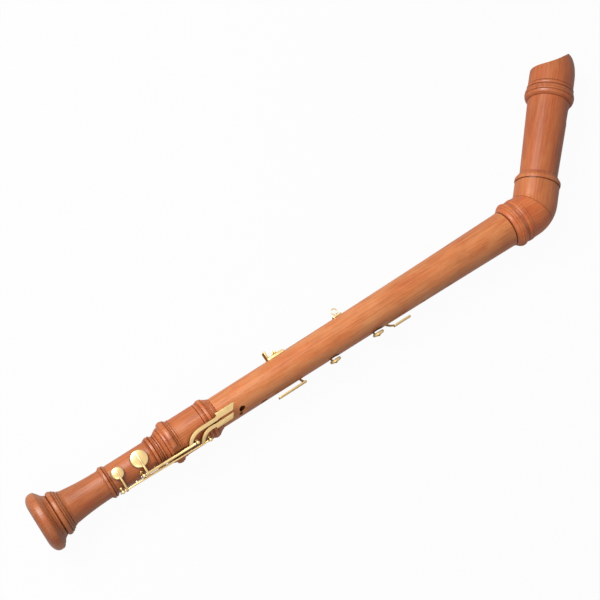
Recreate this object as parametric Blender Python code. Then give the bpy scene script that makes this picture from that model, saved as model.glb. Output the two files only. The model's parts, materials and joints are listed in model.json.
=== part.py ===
"""Bass recorder with a bent head, blown direct, lying on its left side.

All sizes are metres. In the instrument's own frame +X runs up the body from the bell, +Y is
the back (thumb) side, towards which the head bends, and +Z is the player's right hand side.
A station is a distance along the body from the bell's end face. Angles round the body start
at the front line, where the finger holes are, and grow towards the player's right.
"""

from dataclasses import dataclass
from math import asin, cos, pi, radians, sin, sqrt, tan

import bmesh
import bpy
from mathutils import Matrix, Quaternion, Vector

MM = 0.001

# Clearances that every seat shares
GAP = 0.3 * MM
GLUE_LINE = 0.2 * MM
RUNNING_FIT = 0.08 * MM
CLOSED_PAD_GAP = 0.2 * MM

# Sides of the turned shapes
WOOD_SIDES = 32
CUP_SIDES = 24
SMALL_SIDES = 12
LOOP_SIDES = 8

# Foot: lengths from the bell's end face up to the mouth of its socket
BELL_RISE = 9.0 * MM
BELL_CREST = 3.0 * MM
BELL_FALL = 11.5 * MM
NECK_GROOVE = 1.5 * MM
COLLAR_RISE = 3.3 * MM
COLLAR_FALL = 13.7 * MM
FLARE_LENGTH = 47.5 * MM
THIN_BEAD_LENGTH = 8.6 * MM
FOOT_TUBE_LENGTH = 54.4 * MM
LOW_BEAD_LENGTH = 10.5 * MM
SOCKET_RISE = 12.5 * MM
BIG_BEAD_LENGTH = 11.5 * MM
SOCKET_LENGTH = 41.5 * MM
MOUTH_GROOVE = 1.0 * MM
MOUTH_BEAD_LENGTH = 9.0 * MM
MOUTH_FALL = 6.5 * MM

# Foot: radii
BELL_FACE_RADIUS = 23.0 * MM
BELL_RADIUS = 37.5 * MM
NECK_RADIUS = 27.1 * MM
COLLAR_RADIUS = 28.6 * MM
FLARE_RADIUS = 21.7 * MM
FOOT_TUBE_RADIUS = 18.4 * MM
THIN_BEAD_HEIGHT = 2.6 * MM
LOW_BEAD_HEIGHT = 2.6 * MM
SOCKET_RADIUS = 24.3 * MM
BIG_BEAD_HEIGHT = 4.0 * MM
FILLET_STEP = 0.6 * MM
FILLET_WIDTH = 4.5 * MM
MOUTH_BEAD_HEIGHT = 2.2 * MM
FOOT_MOUTH_RADIUS = 20.8 * MM

# Bore, from the bell up to the head
BELL_BORE_RADIUS = 13.5 * MM
BELL_BORE_DEPTH = 38.0 * MM
FOOT_BORE_RADIUS = 9.3 * MM
FOOT_BORE_TOP_RADIUS = 11.0 * MM
MIDDLE_BORE_LOW_RADIUS = 11.2 * MM
MIDDLE_BORE_TOP_RADIUS = 15.3 * MM
HEAD_BORE_RADIUS = 15.5 * MM

# Middle joint
MIDDLE_LENGTH = 452.2 * MM
MIDDLE_LOW_RADIUS = 20.0 * MM
MIDDLE_TOP_RADIUS = 24.5 * MM
MIDDLE_TAPER_POWER = 1.7

# Tenons: the wooden spigot, and the cork let into it
LOW_TENON_RADIUS = 16.2 * MM
LOW_TENON_LENGTH = 32.0 * MM
TOP_TENON_RADIUS = 19.6 * MM
TOP_TENON_LENGTH = 29.0 * MM
HEAD_TENON_LENGTH = 25.0 * MM
CORK_THICKNESS = 1.2 * MM
CORK_MARGIN = 5.0 * MM

# Elbow: two halves mitred at half the bend
BEND = radians(45.5)
ELBOW_RADIUS = 29.5 * MM
ELBOW_LOWER_LENGTH = 47.2 * MM
ELBOW_UPPER_LENGTH = 43.3 * MM
ELBOW_INNER_ROUNDING = 0.5 * MM
ELBOW_MOUTH_RADIUS = 25.6 * MM
ELBOW_BEAD_RADIUS = 31.1 * MM
ELBOW_BEAD_RISE = 10.0 * MM
ELBOW_BEAD_FALL = 7.5 * MM
ELBOW_COLLAR_LENGTH = 8.5 * MM
ELBOW_COLLAR_HEIGHT = 1.0 * MM
ELBOW_NECK_RADIUS = 29.0 * MM
ELBOW_TOP_RING_RADIUS = 30.5 * MM
ELBOW_TOP_RING_LENGTH = 6.3 * MM
ELBOW_TOP_RIM_RADIUS = 28.8 * MM
ELBOW_RING_UNDERSIDE = 2.0 * MM
ELBOW_RING_ROUNDING = 3.0 * MM

# Head: lengths from its shoulder up to the tip of the beak
FLANGE_LENGTH = 4.5 * MM
HEAD_TUBE_LENGTH = 110.0 * MM
HEAD_BEAD_RISE = 8.4 * MM
HEAD_BEAD_FALL = 7.0 * MM
HEAD_GROOVE = 0.6 * MM
SMALL_BEAD_LENGTH = 5.6 * MM
BEAK_BODY_LENGTH = 15.3 * MM
BEAK_DOME_LENGTH = 35.8 * MM

# Head: radii
FLANGE_RADIUS = 28.0 * MM
HEAD_TUBE_LOW_RADIUS = 25.0 * MM
HEAD_TUBE_TOP_RADIUS = 28.2 * MM
HEAD_BEAD_RADIUS = 33.2 * MM
HEAD_GROOVE_RADIUS = 30.3 * MM
SMALL_BEAD_RADIUS = 31.6 * MM
BEAK_RADIUS = 30.6 * MM
BEAK_TIP_RADIUS = 18.0 * MM

# Beak's hollow underside: it starts square at the back and sweeps out to the tip
BEAK_CUT_LENGTH = 29.0 * MM
BEAK_CUT_POWER = 2.2
BEAK_TIP_DEPTH = 15.6 * MM

# Window, labium and windway
WINDOW_WIDTH = 17.0 * MM
WINDOW_SPLAY = 0.5
WINDOW_PAST_WALL = 4.0 * MM
WINDOW_HEIGHT = 6.5 * MM
WINDOW_BELOW_BEAD = 5.0 * MM
LABIUM_DEPTH = 16.3 * MM
LABIUM_SLOPE = 0.535
WINDWAY_ROOF = 17.2 * MM
WINDWAY_HEIGHT = 1.8 * MM

# Finger holes of the middle joint, from its lower shoulder: distance, angle, radius
HOLE_6_LARGE = (29.1 * MM, radians(44.0), 4.2 * MM)
HOLE_6_SMALL = (25.6 * MM, radians(26.5), 2.3 * MM)
HOLE_5 = (58.7 * MM, radians(6.0), 5.2 * MM)
HOLE_2 = (300.4 * MM, radians(2.0), 4.5 * MM)
HOLE_1 = (343.9 * MM, radians(2.0), 4.3 * MM)
THUMB_HOLE = (352.0 * MM, radians(180.0), 4.4 * MM)

# Keywork that all keys share
ROD_RADIUS = 0.85 * MM
ROD_HEAD_RADIUS = 1.7 * MM
ROD_HEAD_LENGTH = 0.9 * MM
POST_RADIUS = 1.9 * MM
POST_HEAD_RADIUS = 2.6 * MM
POST_FLANGE_RADIUS = 2.5 * MM
POST_FLANGE_THICKNESS = 1.0 * MM
POST_SHANK_RADIUS = 1.5 * MM
POST_SHANK_LENGTH = 5.0 * MM
ARM_WIDTH = 3.0 * MM
ARM_THICKNESS = 1.5 * MM
ARM_ON_CUP = 0.2 * MM
CUP_WALL = 0.9 * MM
CUP_DEPTH = 2.6 * MM
CUP_DOME = 1.3 * MM
PAD_THICKNESS = 2.2 * MM
PAD_PROUD = 0.5 * MM
SEAT_RING = 1.7 * MM
SEAT_MARGIN = 0.6 * MM
BUMPER_RADIUS = 1.0 * MM
SPRING_RADIUS = 0.35 * MM
SPRING_DROP = 2.9 * MM
SPRING_REST_GAP = 0.5 * MM
LUG_THICKNESS = 1.2 * MM
LUG_WIDTH = 1.8 * MM

# Thumb rest on the back of the middle joint
THUMB_REST_FROM_SHOULDER = 90.3 * MM
THUMB_SLIDE_LENGTH = 22.2 * MM
THUMB_SLIDE_WIDTH = 8.0 * MM
THUMB_SLIDE_THICKNESS = 1.2 * MM
THUMB_SLIDE_TRAVEL = 4.0 * MM
THUMB_BLADE_HEIGHT = 8.4 * MM
THUMB_BLADE_WIDTH = 15.0 * MM
THUMB_BLADE_THICKNESS = 2.0 * MM
THUMB_BASE_THICKNESS = 1.0 * MM
THUMB_BASE_WIDTH = 17.0 * MM
THUMB_BASE_OVERHANG = 0.8 * MM
CLAMP_SCREW_RADIUS = 1.5 * MM
CLAMP_HEAD_RADIUS = 3.1 * MM
CLAMP_HEAD_HEIGHT = 3.2 * MM
CLAMP_SCREW_DEPTH = 3.0 * MM

# Strap ring above the thumb rest
STRAP_PLATE_FROM_SHOULDER = 190.0 * MM
STRAP_PLATE_LENGTH = 12.6 * MM
STRAP_PLATE_WIDTH = 9.0 * MM
STRAP_PLATE_THICKNESS = 1.2 * MM
STRAP_RING_RADIUS = 3.8 * MM
STRAP_NECK_HEIGHT = 1.1 * MM
STRAP_NECK_RADIUS = 1.0 * MM
STRAP_WIRE_RADIUS = 0.7 * MM

# Small wood screws
SCREW_RADIUS = 1.0 * MM
SCREW_LENGTH = 6.0 * MM
SCREW_HEAD_RADIUS = 1.6 * MM
SCREW_HEAD_HEIGHT = 0.8 * MM
SCREW_EDGE = 2.4 * MM

# Stations that the sizes above give
NECK = BELL_RISE + BELL_CREST + BELL_FALL
COLLAR = NECK + NECK_GROOVE
FLARE = COLLAR + COLLAR_RISE + COLLAR_FALL
THIN_BEAD = FLARE + FLARE_LENGTH
FOOT_TUBE = THIN_BEAD + THIN_BEAD_LENGTH
LOW_BEAD = FOOT_TUBE + FOOT_TUBE_LENGTH
SOCKET_SLOPE = LOW_BEAD + LOW_BEAD_LENGTH
BIG_BEAD = SOCKET_SLOPE + SOCKET_RISE
SOCKET = BIG_BEAD + BIG_BEAD_LENGTH
MOUTH_BEAD = SOCKET + SOCKET_LENGTH + MOUTH_GROOVE
FOOT_TOP = MOUTH_BEAD + MOUTH_BEAD_LENGTH + MOUTH_FALL
MIDDLE = FOOT_TOP + GAP
MIDDLE_TOP = MIDDLE + MIDDLE_LENGTH
ELBOW = MIDDLE_TOP + GAP
CORNER = ELBOW + ELBOW_LOWER_LENGTH

# Distances along the head's axis, from the corner where the two axes meet
HEAD = ELBOW_UPPER_LENGTH + GAP
HEAD_TUBE = HEAD + FLANGE_LENGTH
HEAD_BEAD = HEAD_TUBE + HEAD_TUBE_LENGTH
SMALL_BEAD = HEAD_BEAD + HEAD_BEAD_RISE + HEAD_BEAD_FALL + HEAD_GROOVE
BEAK = SMALL_BEAD + SMALL_BEAD_LENGTH
BEAK_DOME = BEAK + BEAK_BODY_LENGTH
BEAK_TIP = BEAK_DOME + BEAK_DOME_LENGTH
BLOCK_END = HEAD_BEAD - WINDOW_BELOW_BEAD
LABIUM = BLOCK_END - WINDOW_HEIGHT

FINISHES = {
    "pearwood": ((0.42, 0.13, 0.045), 0.45, 0.0),
    "cedar": ((0.50, 0.22, 0.10), 0.7, 0.0),
    "brass": ((0.80, 0.58, 0.22), 0.25, 1.0),
    "steel": ((0.55, 0.56, 0.58), 0.35, 1.0),
    "cork": ((0.52, 0.33, 0.18), 0.9, 0.0),
    "leather": ((0.62, 0.50, 0.36), 0.8, 0.0),
}


@dataclass
class Key:
    """One brass key: where its hinge lies, which hole it closes, and how its touch runs."""

    name: str
    posts: tuple
    post_radii: tuple
    angle: float
    tube_radius: float
    hole_station: float
    hole_angle: float
    hole_radius: float
    cup_radius: float
    lug_station: float
    tail: float
    open_angle: float


# Low F and low F sharp keys on the foot; keys for holes 3 and 4 on the middle joint
LOW_HOLE_ANGLE = radians(95.0)
TOUCH_RADIUS = 28.0 * MM
LOW_F = Key(
    name="low_f",
    posts=(FOOT_TUBE + 34.2 * MM, SOCKET + 19.5 * MM),
    post_radii=(25.6 * MM, 27.1 * MM),
    angle=radians(43.6),
    tube_radius=1.9 * MM,
    hole_station=FOOT_TUBE + 39.6 * MM,
    hole_angle=LOW_HOLE_ANGLE,
    hole_radius=6.0 * MM,
    cup_radius=10.7 * MM,
    lug_station=FOOT_TUBE + 50.0 * MM,
    tail=4.3 * MM,
    open_angle=radians(8.0),
)
LOW_F_SHARP = Key(
    name="low_f_sharp",
    posts=(FOOT_TUBE + 4.2 * MM, SOCKET + 35.0 * MM),
    post_radii=(23.3 * MM, 27.4 * MM),
    angle=radians(27.5),
    tube_radius=1.45 * MM,
    hole_station=FOOT_TUBE + 9.6 * MM,
    hole_angle=LOW_HOLE_ANGLE,
    hole_radius=3.8 * MM,
    cup_radius=7.5 * MM,
    lug_station=FOOT_TUBE + 24.0 * MM,
    tail=5.6 * MM,
    open_angle=radians(7.5),
)
HOLE_4 = Key(
    name="hole_4",
    posts=(MIDDLE + 107.0 * MM, MIDDLE + 173.0 * MM),
    post_radii=(24.6 * MM, 25.0 * MM),
    angle=radians(-50.0),
    tube_radius=1.8 * MM,
    hole_station=MIDDLE + 162.8 * MM,
    hole_angle=radians(2.0),
    hole_radius=5.2 * MM,
    cup_radius=7.6 * MM,
    lug_station=MIDDLE + 127.0 * MM,
    tail=5.0 * MM,
    open_angle=radians(8.0),
)
HOLE_3 = Key(
    name="hole_3",
    posts=(MIDDLE + 219.0 * MM, MIDDLE + 262.0 * MM),
    post_radii=(25.4 * MM, 25.8 * MM),
    angle=radians(-50.0),
    tube_radius=1.8 * MM,
    hole_station=MIDDLE + 228.5 * MM,
    hole_angle=radians(2.0),
    hole_radius=5.4 * MM,
    cup_radius=7.9 * MM,
    lug_station=MIDDLE + 238.0 * MM,
    tail=5.0 * MM,
    open_angle=radians(8.0),
)
FOOT_KEYS = (LOW_F, LOW_F_SHARP)
MIDDLE_KEYS = (HOLE_4, HOLE_3)

# Touches of the low keys: an arm leaves the tube square to it, bends and runs on to its plate.
# Stations are given from the socket's mouth, those of a plate's low edge before its high edge.
LOW_TOUCH_ARM_WIDTH = 4.8 * MM
LOW_TOUCH_THICKNESS = 1.6 * MM
LOW_F_TOUCH = {
    "root": -47.4 * MM,
    "bend": 19.0 * MM,
    "arm_angle": radians(74.0),
    "plate_start": (-4.6 * MM, -4.6 * MM),
    "plate_end": (16.4 * MM, 22.2 * MM),
    "plate_angles": (radians(70.6), radians(87.3)),
}
LOW_F_SHARP_TOUCH = {
    "root": -33.0 * MM,
    "bend": 16.4 * MM,
    "arm_angle": radians(62.5),
    "plate_start": (-10.6 * MM, -10.6 * MM),
    "plate_end": (11.8 * MM, 16.0 * MM),
    "plate_angles": (radians(52.0), radians(66.2)),
}

# Touches of the keys for holes 3 and 4: flat plates over the front line. A plate's start and end
# are given from the shoulder, and its arm from the key's lower post.
FRONT_TOUCH_WIDTH = 8.0 * MM
FRONT_TOUCH_THICKNESS = 2.0 * MM
FRONT_TOUCH_HEIGHT = 1.6 * MM
HOLE_4_TOUCH = {"arm": 8.4 * MM, "start": 76.2 * MM, "end": 117.1 * MM}
HOLE_3_TOUCH = {"arm": 28.0 * MM, "start": 250.9 * MM, "end": 276.2 * MM}


def merge_runs(*runs):
    """One outline from several runs of points, with no point twice in a row."""
    points = []
    for run in runs:
        for x, r in run:
            if not points or (Vector((x, r)) - Vector(points[-1])).length > 1e-6:
                points.append((x, r))
    return points


def quarter(start, end, square_first, steps=5):
    """Quarter of an ellipse that leaves start square to the axis, or along it."""
    run = []
    for i in range(steps + 1):
        u = pi / 2 * i / steps
        across, along = (sin(u), 1 - cos(u)) if square_first else (1 - cos(u), sin(u))
        run.append((start[0] + (end[0] - start[0]) * along, start[1] + (end[1] - start[1]) * across))
    return run


def ogee(start, end, steps=5):
    """S-curve from one radius to another, level at both ends."""
    run = []
    for i in range(steps + 1):
        u = i / steps
        ease = (1 - cos(pi * u)) / 2
        run.append((start[0] + (end[0] - start[0]) * u, start[1] + (end[1] - start[1]) * ease))
    return run


def bead(start, end, height, steps=6):
    """Half-round bead of a given height on the line from start to end."""
    run = []
    for i in range(steps + 1):
        u = pi * i / steps
        along = (1 - cos(u)) / 2
        base = start[1] + (end[1] - start[1]) * along
        run.append((start[0] + (end[0] - start[0]) * along, base + height * sin(u)))
    return run


def middle_radius(station):
    """Outer radius of the middle joint, which widens towards the elbow."""
    share = (station - MIDDLE) / MIDDLE_LENGTH
    return MIDDLE_LOW_RADIUS + (MIDDLE_TOP_RADIUS - MIDDLE_LOW_RADIUS) * share ** MIDDLE_TAPER_POWER


def body_radius(station):
    """Radius of the wood that carries a post at a station of the foot or middle joint."""
    if station >= MIDDLE:
        return middle_radius(station)
    return SOCKET_RADIUS if station >= SOCKET else FOOT_TUBE_RADIUS


def round_body(station, angle, radius):
    """Point at a station, an angle from the front line and a radius."""
    return Vector((station, -radius * cos(angle), radius * sin(angle)))


def outward(angle):
    """Unit vector that points away from the body's axis at an angle."""
    return Vector((0, -cos(angle), sin(angle)))


def radial_frame(station, angle):
    """Frame at a station whose own X axis points away from the body at an angle."""
    x_axis = outward(angle)
    z_axis = Vector((1, 0, 0))
    return frame_of(Vector((station, 0, 0)), x_axis, z_axis)


def frame_of(origin, x_axis, z_axis):
    """Matrix of a frame from its origin, its X axis and its Z axis."""
    y_axis = z_axis.cross(x_axis)
    matrix = Matrix((x_axis, y_axis, z_axis)).transposed().to_4x4()
    matrix.translation = origin
    return matrix


def line_frame(start, end):
    """Frame at start whose own X axis points to end."""
    x_axis = (end - start).normalized()
    side = x_axis.cross(Vector((0, 1, 0))).normalized()
    return frame_of(start, x_axis, side)


def turned(outline, sides=WOOD_SIDES, frame=None, ring=False):
    """Turn an outline of (distance, radius) points round X; a ring's outline is closed."""
    mesh = bmesh.new()
    verts = [mesh.verts.new((x, 0, r)) for x, r in outline]
    pairs = list(zip(verts, verts[1:]))
    if ring:
        pairs.append((verts[-1], verts[0]))
    edges = [mesh.edges.new(pair) for pair in pairs]
    bmesh.ops.spin(
        mesh, geom=verts + edges, cent=(0, 0, 0), axis=(1, 0, 0),
        angle=2 * pi, steps=sides, use_merge=True,
    )
    bmesh.ops.remove_doubles(mesh, verts=mesh.verts, dist=1e-7)
    bmesh.ops.recalc_face_normals(mesh, faces=mesh.faces)
    if frame is not None:
        bmesh.ops.transform(mesh, matrix=frame, verts=mesh.verts)
    return mesh


def rod(start, end, radius, sides=SMALL_SIDES, frame=None):
    """Plain cylinder between two distances along X, or in another frame."""
    return turned([(start, 0), (start, radius), (end, radius), (end, 0)], sides, frame)


def rod_between(start, end, radius, sides=SMALL_SIDES):
    """Plain cylinder between two points."""
    return rod(0, (end - start).length, radius, sides, line_frame(start, end))


def prism(outline, half_width):
    """Solid with an outline in the XY plane, extruded evenly both ways along Z."""
    mesh = bmesh.new()
    face = mesh.faces.new([mesh.verts.new((x, y, -half_width)) for x, y in outline])
    new = bmesh.ops.extrude_face_region(mesh, geom=[face])
    moved = [item for item in new["geom"] if isinstance(item, bmesh.types.BMVert)]
    bmesh.ops.translate(mesh, vec=(0, 0, 2 * half_width), verts=moved)
    bmesh.ops.recalc_face_normals(mesh, faces=mesh.faces)
    return mesh


def block_between(low, high, frame=None):
    """Box between two corners, which may stand in another frame."""
    mesh = bmesh.new()
    size = Vector(high) - Vector(low)
    centre = (Vector(high) + Vector(low)) / 2
    matrix = Matrix.Translation(centre) @ Matrix.Diagonal((*size, 1))
    bmesh.ops.create_cube(mesh, size=1, matrix=matrix)
    if frame is not None:
        bmesh.ops.transform(mesh, matrix=frame, verts=mesh.verts)
    return mesh


def band(stations, thickness):
    """Flat strip of metal through stations of (low edge, high edge, outward direction)."""
    mesh = bmesh.new()
    rings = []
    for low, high, normal in stations:
        lift = normal * thickness / 2
        corners = (low - lift, high - lift, high + lift, low + lift)
        verts = [mesh.verts.new(corner) for corner in corners]
        rings.append([mesh.edges.new((verts[i], verts[(i + 1) % 4])) for i in range(4)])
    for near, far in zip(rings, rings[1:]):
        bmesh.ops.bridge_loops(mesh, edges=near + far)
    bmesh.ops.contextual_create(mesh, geom=rings[0])
    bmesh.ops.contextual_create(mesh, geom=rings[-1])
    bmesh.ops.recalc_face_normals(mesh, faces=mesh.faces)
    return mesh


def together(meshes):
    """One mesh that holds several separate ones."""
    whole = bmesh.new()
    for mesh in meshes:
        data = bpy.data.meshes.new("part_of_whole")
        mesh.to_mesh(data)
        mesh.free()
        whole.from_mesh(data)
        bpy.data.meshes.remove(data)
    return whole


def finish_of(name, finish):
    """Material of one piece."""
    colour, roughness, metallic = FINISHES[finish]
    material = bpy.data.materials.new(name + "_finish")
    material.use_nodes = True
    material.diffuse_color = (*colour, 1.0)
    shader = material.node_tree.nodes["Principled BSDF"]
    shader.inputs["Base Color"].default_value = (*colour, 1.0)
    shader.inputs["Roughness"].default_value = roughness
    shader.inputs["Metallic"].default_value = metallic
    return material


def place(name, mesh, parent, origin=None):
    """Object of a mesh built in its parent's frame, with its own origin at a given point."""
    origin = origin or Vector()
    bmesh.ops.translate(mesh, vec=-origin, verts=mesh.verts)
    data = bpy.data.meshes.new(name)
    mesh.to_mesh(data)
    mesh.free()
    thing = bpy.data.objects.new(name, data)
    bpy.context.collection.objects.link(thing)
    thing.parent = parent
    thing.location = origin
    return thing


def add_piece(name, mesh, finish, parent, origin=None):
    """Piece of the instrument, shaded smooth with sharp corners."""
    piece = place(name, mesh, parent, origin)
    piece.data.shade_smooth()
    piece.data.set_sharp_from_angle(angle=radians(35))
    piece.data.materials.append(finish_of(name, finish))
    return piece


def combine(piece, mesh, operation, label):
    """Add or take away a hidden shape, built in the same frame as the piece's mesh."""
    shape = place(f"{piece.name}_{label}", mesh, piece)
    shape.hide_render = True
    shape.display_type = "WIRE"
    modifier = piece.modifiers.new(label, "BOOLEAN")
    modifier.operation = operation
    modifier.solver = "EXACT"
    modifier.use_self = True
    modifier.object = shape
    return shape


def join(piece, mesh, label):
    """Make a shape one body with a piece."""
    return combine(piece, mesh, "UNION", label)


def cut(piece, mesh, label):
    """Take a shape out of a piece."""
    return combine(piece, mesh, "DIFFERENCE", label)


def empty(name, parent, location=(0, 0, 0), turn=0.0):
    """Named frame, turned about its Z axis."""
    frame = bpy.data.objects.new(name, None)
    frame.empty_display_size = 0.02
    bpy.context.collection.objects.link(frame)
    frame.parent = parent
    frame.location = location
    frame.rotation_euler = (0, 0, turn)
    return frame


def hinge_point(key, station):
    """Point of a key's hinge line, which leans out with the wood that carries it."""
    share = (station - key.posts[0]) / (key.posts[1] - key.posts[0])
    radius = key.post_radii[0] + (key.post_radii[1] - key.post_radii[0]) * share
    return round_body(station, key.angle, radius)


def hinge_radius(key, station):
    """Distance of a key's hinge line from the body's axis."""
    return hinge_point(key, station).yz.length


def seat_height(key):
    """Height of the flat seat that is cut round a key's hole."""
    return sqrt(body_radius(key.hole_station) ** 2 - (key.hole_radius + SEAT_RING) ** 2)


def hole_drill(key):
    """Cutter of a keyed hole: the hole itself and the flat seat round it."""
    seat = seat_height(key)
    top = body_radius(key.hole_station) + GAP
    reach = key.cup_radius + SEAT_MARGIN
    outline = [(0, 0), (0, key.hole_radius), (seat, key.hole_radius), (seat, reach), (top, reach), (top, 0)]
    return turned(outline, CUP_SIDES, radial_frame(key.hole_station, key.hole_angle))


def finger_hole(shoulder, hole):
    """Cutter of an open finger hole, from the bore out through the wall."""
    distance, angle, radius = hole
    station = shoulder + distance
    return rod(0, body_radius(station) + GAP, radius, CUP_SIDES, radial_frame(station, angle))


def post_drill(key, station):
    """Cutter of the hole that a post's shank goes into."""
    wood = body_radius(station)
    start = wood - POST_SHANK_LENGTH - GAP
    return rod(start, wood + GAP, POST_SHANK_RADIUS + GAP, SMALL_SIDES, radial_frame(station, key.angle))


def screw_drill(place_at):
    """Cutter of the hole that a small wood screw goes into, on the back of the middle joint."""
    wood = middle_radius(place_at[0])
    start = wood - SCREW_LENGTH - GAP
    return rod(start, wood + GAP, SCREW_RADIUS + GAP, SMALL_SIDES, back_frame(*place_at))


def tenon_outline(shoulder, end, radius, bore):
    """Outline of a tenon from its shoulder to its end, with the groove for its cork."""
    step = 1 if end > shoulder else -1
    groove_start = shoulder + step * CORK_MARGIN
    groove_end = end - step * CORK_MARGIN
    floor = radius - CORK_THICKNESS - GAP
    return [
        (shoulder, radius), (groove_start, radius), (groove_start, floor),
        (groove_end, floor), (groove_end, radius), (end, radius), (end, bore),
    ]


def make_cork(name, shoulder, end, radius, parent):
    """Cork ring that fills a tenon's groove."""
    step = 1 if end > shoulder else -1
    low = shoulder + step * (CORK_MARGIN + GAP)
    high = end - step * (CORK_MARGIN + GAP)
    inner = radius - CORK_THICKNESS
    outline = [(low, inner), (low, radius), (high, radius), (high, inner)]
    return add_piece(name, turned(outline, ring=True), "cork", parent)


def foot_outline():
    """Turned outside of the foot, from the bell's end face to the mouth of its socket."""
    mouth = FOOT_TOP - MOUTH_FALL
    tube = FOOT_TUBE_RADIUS
    flare = []
    for i in range(7):
        u = i / 6
        flare.append((FLARE + FLARE_LENGTH * u, tube + (FLARE_RADIUS - tube) * (1 - u) ** 2))
    crest = BELL_RISE + BELL_CREST
    fillet = SOCKET_RADIUS + FILLET_STEP
    groove = SOCKET_RADIUS - FILLET_STEP
    return merge_runs(
        quarter((0, BELL_FACE_RADIUS), (BELL_RISE, BELL_RADIUS), square_first=True),
        ogee((crest, BELL_RADIUS), (NECK, NECK_RADIUS), 6),
        quarter((COLLAR, NECK_RADIUS), (COLLAR + COLLAR_RISE, COLLAR_RADIUS), square_first=True, steps=3),
        ogee((COLLAR + COLLAR_RISE, COLLAR_RADIUS), (FLARE, FLARE_RADIUS)),
        flare,
        bead((THIN_BEAD, tube), (FOOT_TUBE, tube), THIN_BEAD_HEIGHT),
        [(LOW_BEAD, tube)],
        bead((LOW_BEAD, tube), (SOCKET_SLOPE, tube + FILLET_STEP), LOW_BEAD_HEIGHT),
        ogee((SOCKET_SLOPE, tube + FILLET_STEP), (BIG_BEAD, SOCKET_RADIUS)),
        bead((BIG_BEAD, SOCKET_RADIUS), (SOCKET, SOCKET_RADIUS), BIG_BEAD_HEIGHT),
        [(SOCKET, fillet), (SOCKET + FILLET_WIDTH, fillet), (SOCKET + FILLET_WIDTH, SOCKET_RADIUS)],
        [(MOUTH_BEAD - MOUTH_GROOVE, SOCKET_RADIUS), (MOUTH_BEAD - MOUTH_GROOVE, groove)],
        bead((MOUTH_BEAD, groove), (mouth, groove), MOUTH_BEAD_HEIGHT),
        ogee((mouth, groove), (FOOT_TOP, FOOT_MOUTH_RADIUS)),
    )


def make_foot(parent):
    """Foot joint: bell, turned rings, and the socket that takes the middle joint."""
    socket = LOW_TENON_RADIUS + GAP
    floor = FOOT_TOP - LOW_TENON_LENGTH - 2 * GAP
    inside = [
        (FOOT_TOP, socket), (floor, socket), (floor, FOOT_BORE_TOP_RADIUS),
        (BELL_BORE_DEPTH, FOOT_BORE_RADIUS),
        *reversed(quarter((0, BELL_BORE_RADIUS), (BELL_BORE_DEPTH, FOOT_BORE_RADIUS), square_first=False)),
    ]
    outline = merge_runs(foot_outline(), inside)
    foot = add_piece("foot_joint", turned(outline, ring=True), "pearwood", parent)
    drills = [hole_drill(key) for key in FOOT_KEYS]
    drills += [post_drill(key, station) for key in FOOT_KEYS for station in key.posts]
    cut(foot, together(drills), "drilling")
    cut(foot, key_bed(), "key_bed")
    return foot


def key_bed():
    """Cutter of the flat that is filed across the big bead, to let the two hinge tubes pass."""
    angle = (LOW_F.angle + LOW_F_SHARP.angle) / 2
    heights = []
    for key in FOOT_KEYS:
        lowest = hinge_radius(key, BIG_BEAD) * cos(key.angle - angle)
        heights.append(lowest - key.tube_radius - GAP)
    height = min(heights)
    reach = SOCKET_RADIUS + 2 * BIG_BEAD_HEIGHT
    frame = radial_frame(0, angle)
    end = SOCKET + FILLET_WIDTH
    return block_between((height, -reach, BIG_BEAD - GAP), (reach, reach, end), frame)


def make_middle(parent):
    """Middle joint: conical tube with a corked tenon at each end and all the open finger holes."""
    low_end = MIDDLE - LOW_TENON_LENGTH
    top_end = MIDDLE_TOP + TOP_TENON_LENGTH
    steps = 8
    tube = []
    for i in range(steps + 1):
        station = MIDDLE + MIDDLE_LENGTH * i / steps
        tube.append((station, middle_radius(station)))
    outline = merge_runs(
        reversed(tenon_outline(MIDDLE, low_end, LOW_TENON_RADIUS, MIDDLE_BORE_LOW_RADIUS)),
        tube,
        tenon_outline(MIDDLE_TOP, top_end, TOP_TENON_RADIUS, MIDDLE_BORE_TOP_RADIUS),
    )
    middle = add_piece("middle_joint", turned(outline, ring=True), "pearwood", parent)
    holes = (HOLE_6_LARGE, HOLE_6_SMALL, HOLE_5, HOLE_2, HOLE_1, THUMB_HOLE)
    drills = [finger_hole(MIDDLE, hole) for hole in holes]
    drills += [hole_drill(key) for key in MIDDLE_KEYS]
    drills += [post_drill(key, station) for key in MIDDLE_KEYS for station in key.posts]
    drills += [screw_drill(place_at) for place_at in thumb_base_screws() + strap_screws()]
    drills.append(clamp_drill())
    cut(middle, together(drills), "drilling")
    make_cork("foot_tenon_cork", MIDDLE, low_end, LOW_TENON_RADIUS, parent)
    make_cork("elbow_tenon_cork", MIDDLE_TOP, top_end, TOP_TENON_RADIUS, parent)
    return middle


def bent_end(mesh, distance, turn):
    """Carry the flat end of an elbow half on round the inside of the bend to the mitre."""
    steps = 4
    pivot = Vector((distance, ELBOW_RADIUS + ELBOW_INNER_ROUNDING, 0))
    for i in range(steps):
        matrix = Matrix.Rotation(turn * i / steps, 4, "Z")
        normal = matrix @ Vector((1, 0, 0))
        flat = [f for f in mesh.faces if all(abs((v.co - pivot).dot(normal)) < 1e-7 for v in f.verts)]
        rim = list({edge for face in flat for edge in face.edges})
        new = bmesh.ops.extrude_face_region(mesh, geom=flat + rim)
        moved = [item for item in new["geom"] if isinstance(item, bmesh.types.BMVert)]
        turn_step = Matrix.Rotation(turn / steps, 3, "Z")
        bmesh.ops.rotate(mesh, cent=pivot, matrix=turn_step, verts=moved)
    bmesh.ops.recalc_face_normals(mesh, faces=mesh.faces)
    return mesh


def mitre_start():
    """Distance from the corner to the place where an elbow half starts to bend."""
    arm = (ELBOW_RADIUS + ELBOW_INNER_ROUNDING) * tan(BEND / 2)
    return arm + GLUE_LINE / 2 / cos(BEND / 2)


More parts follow.
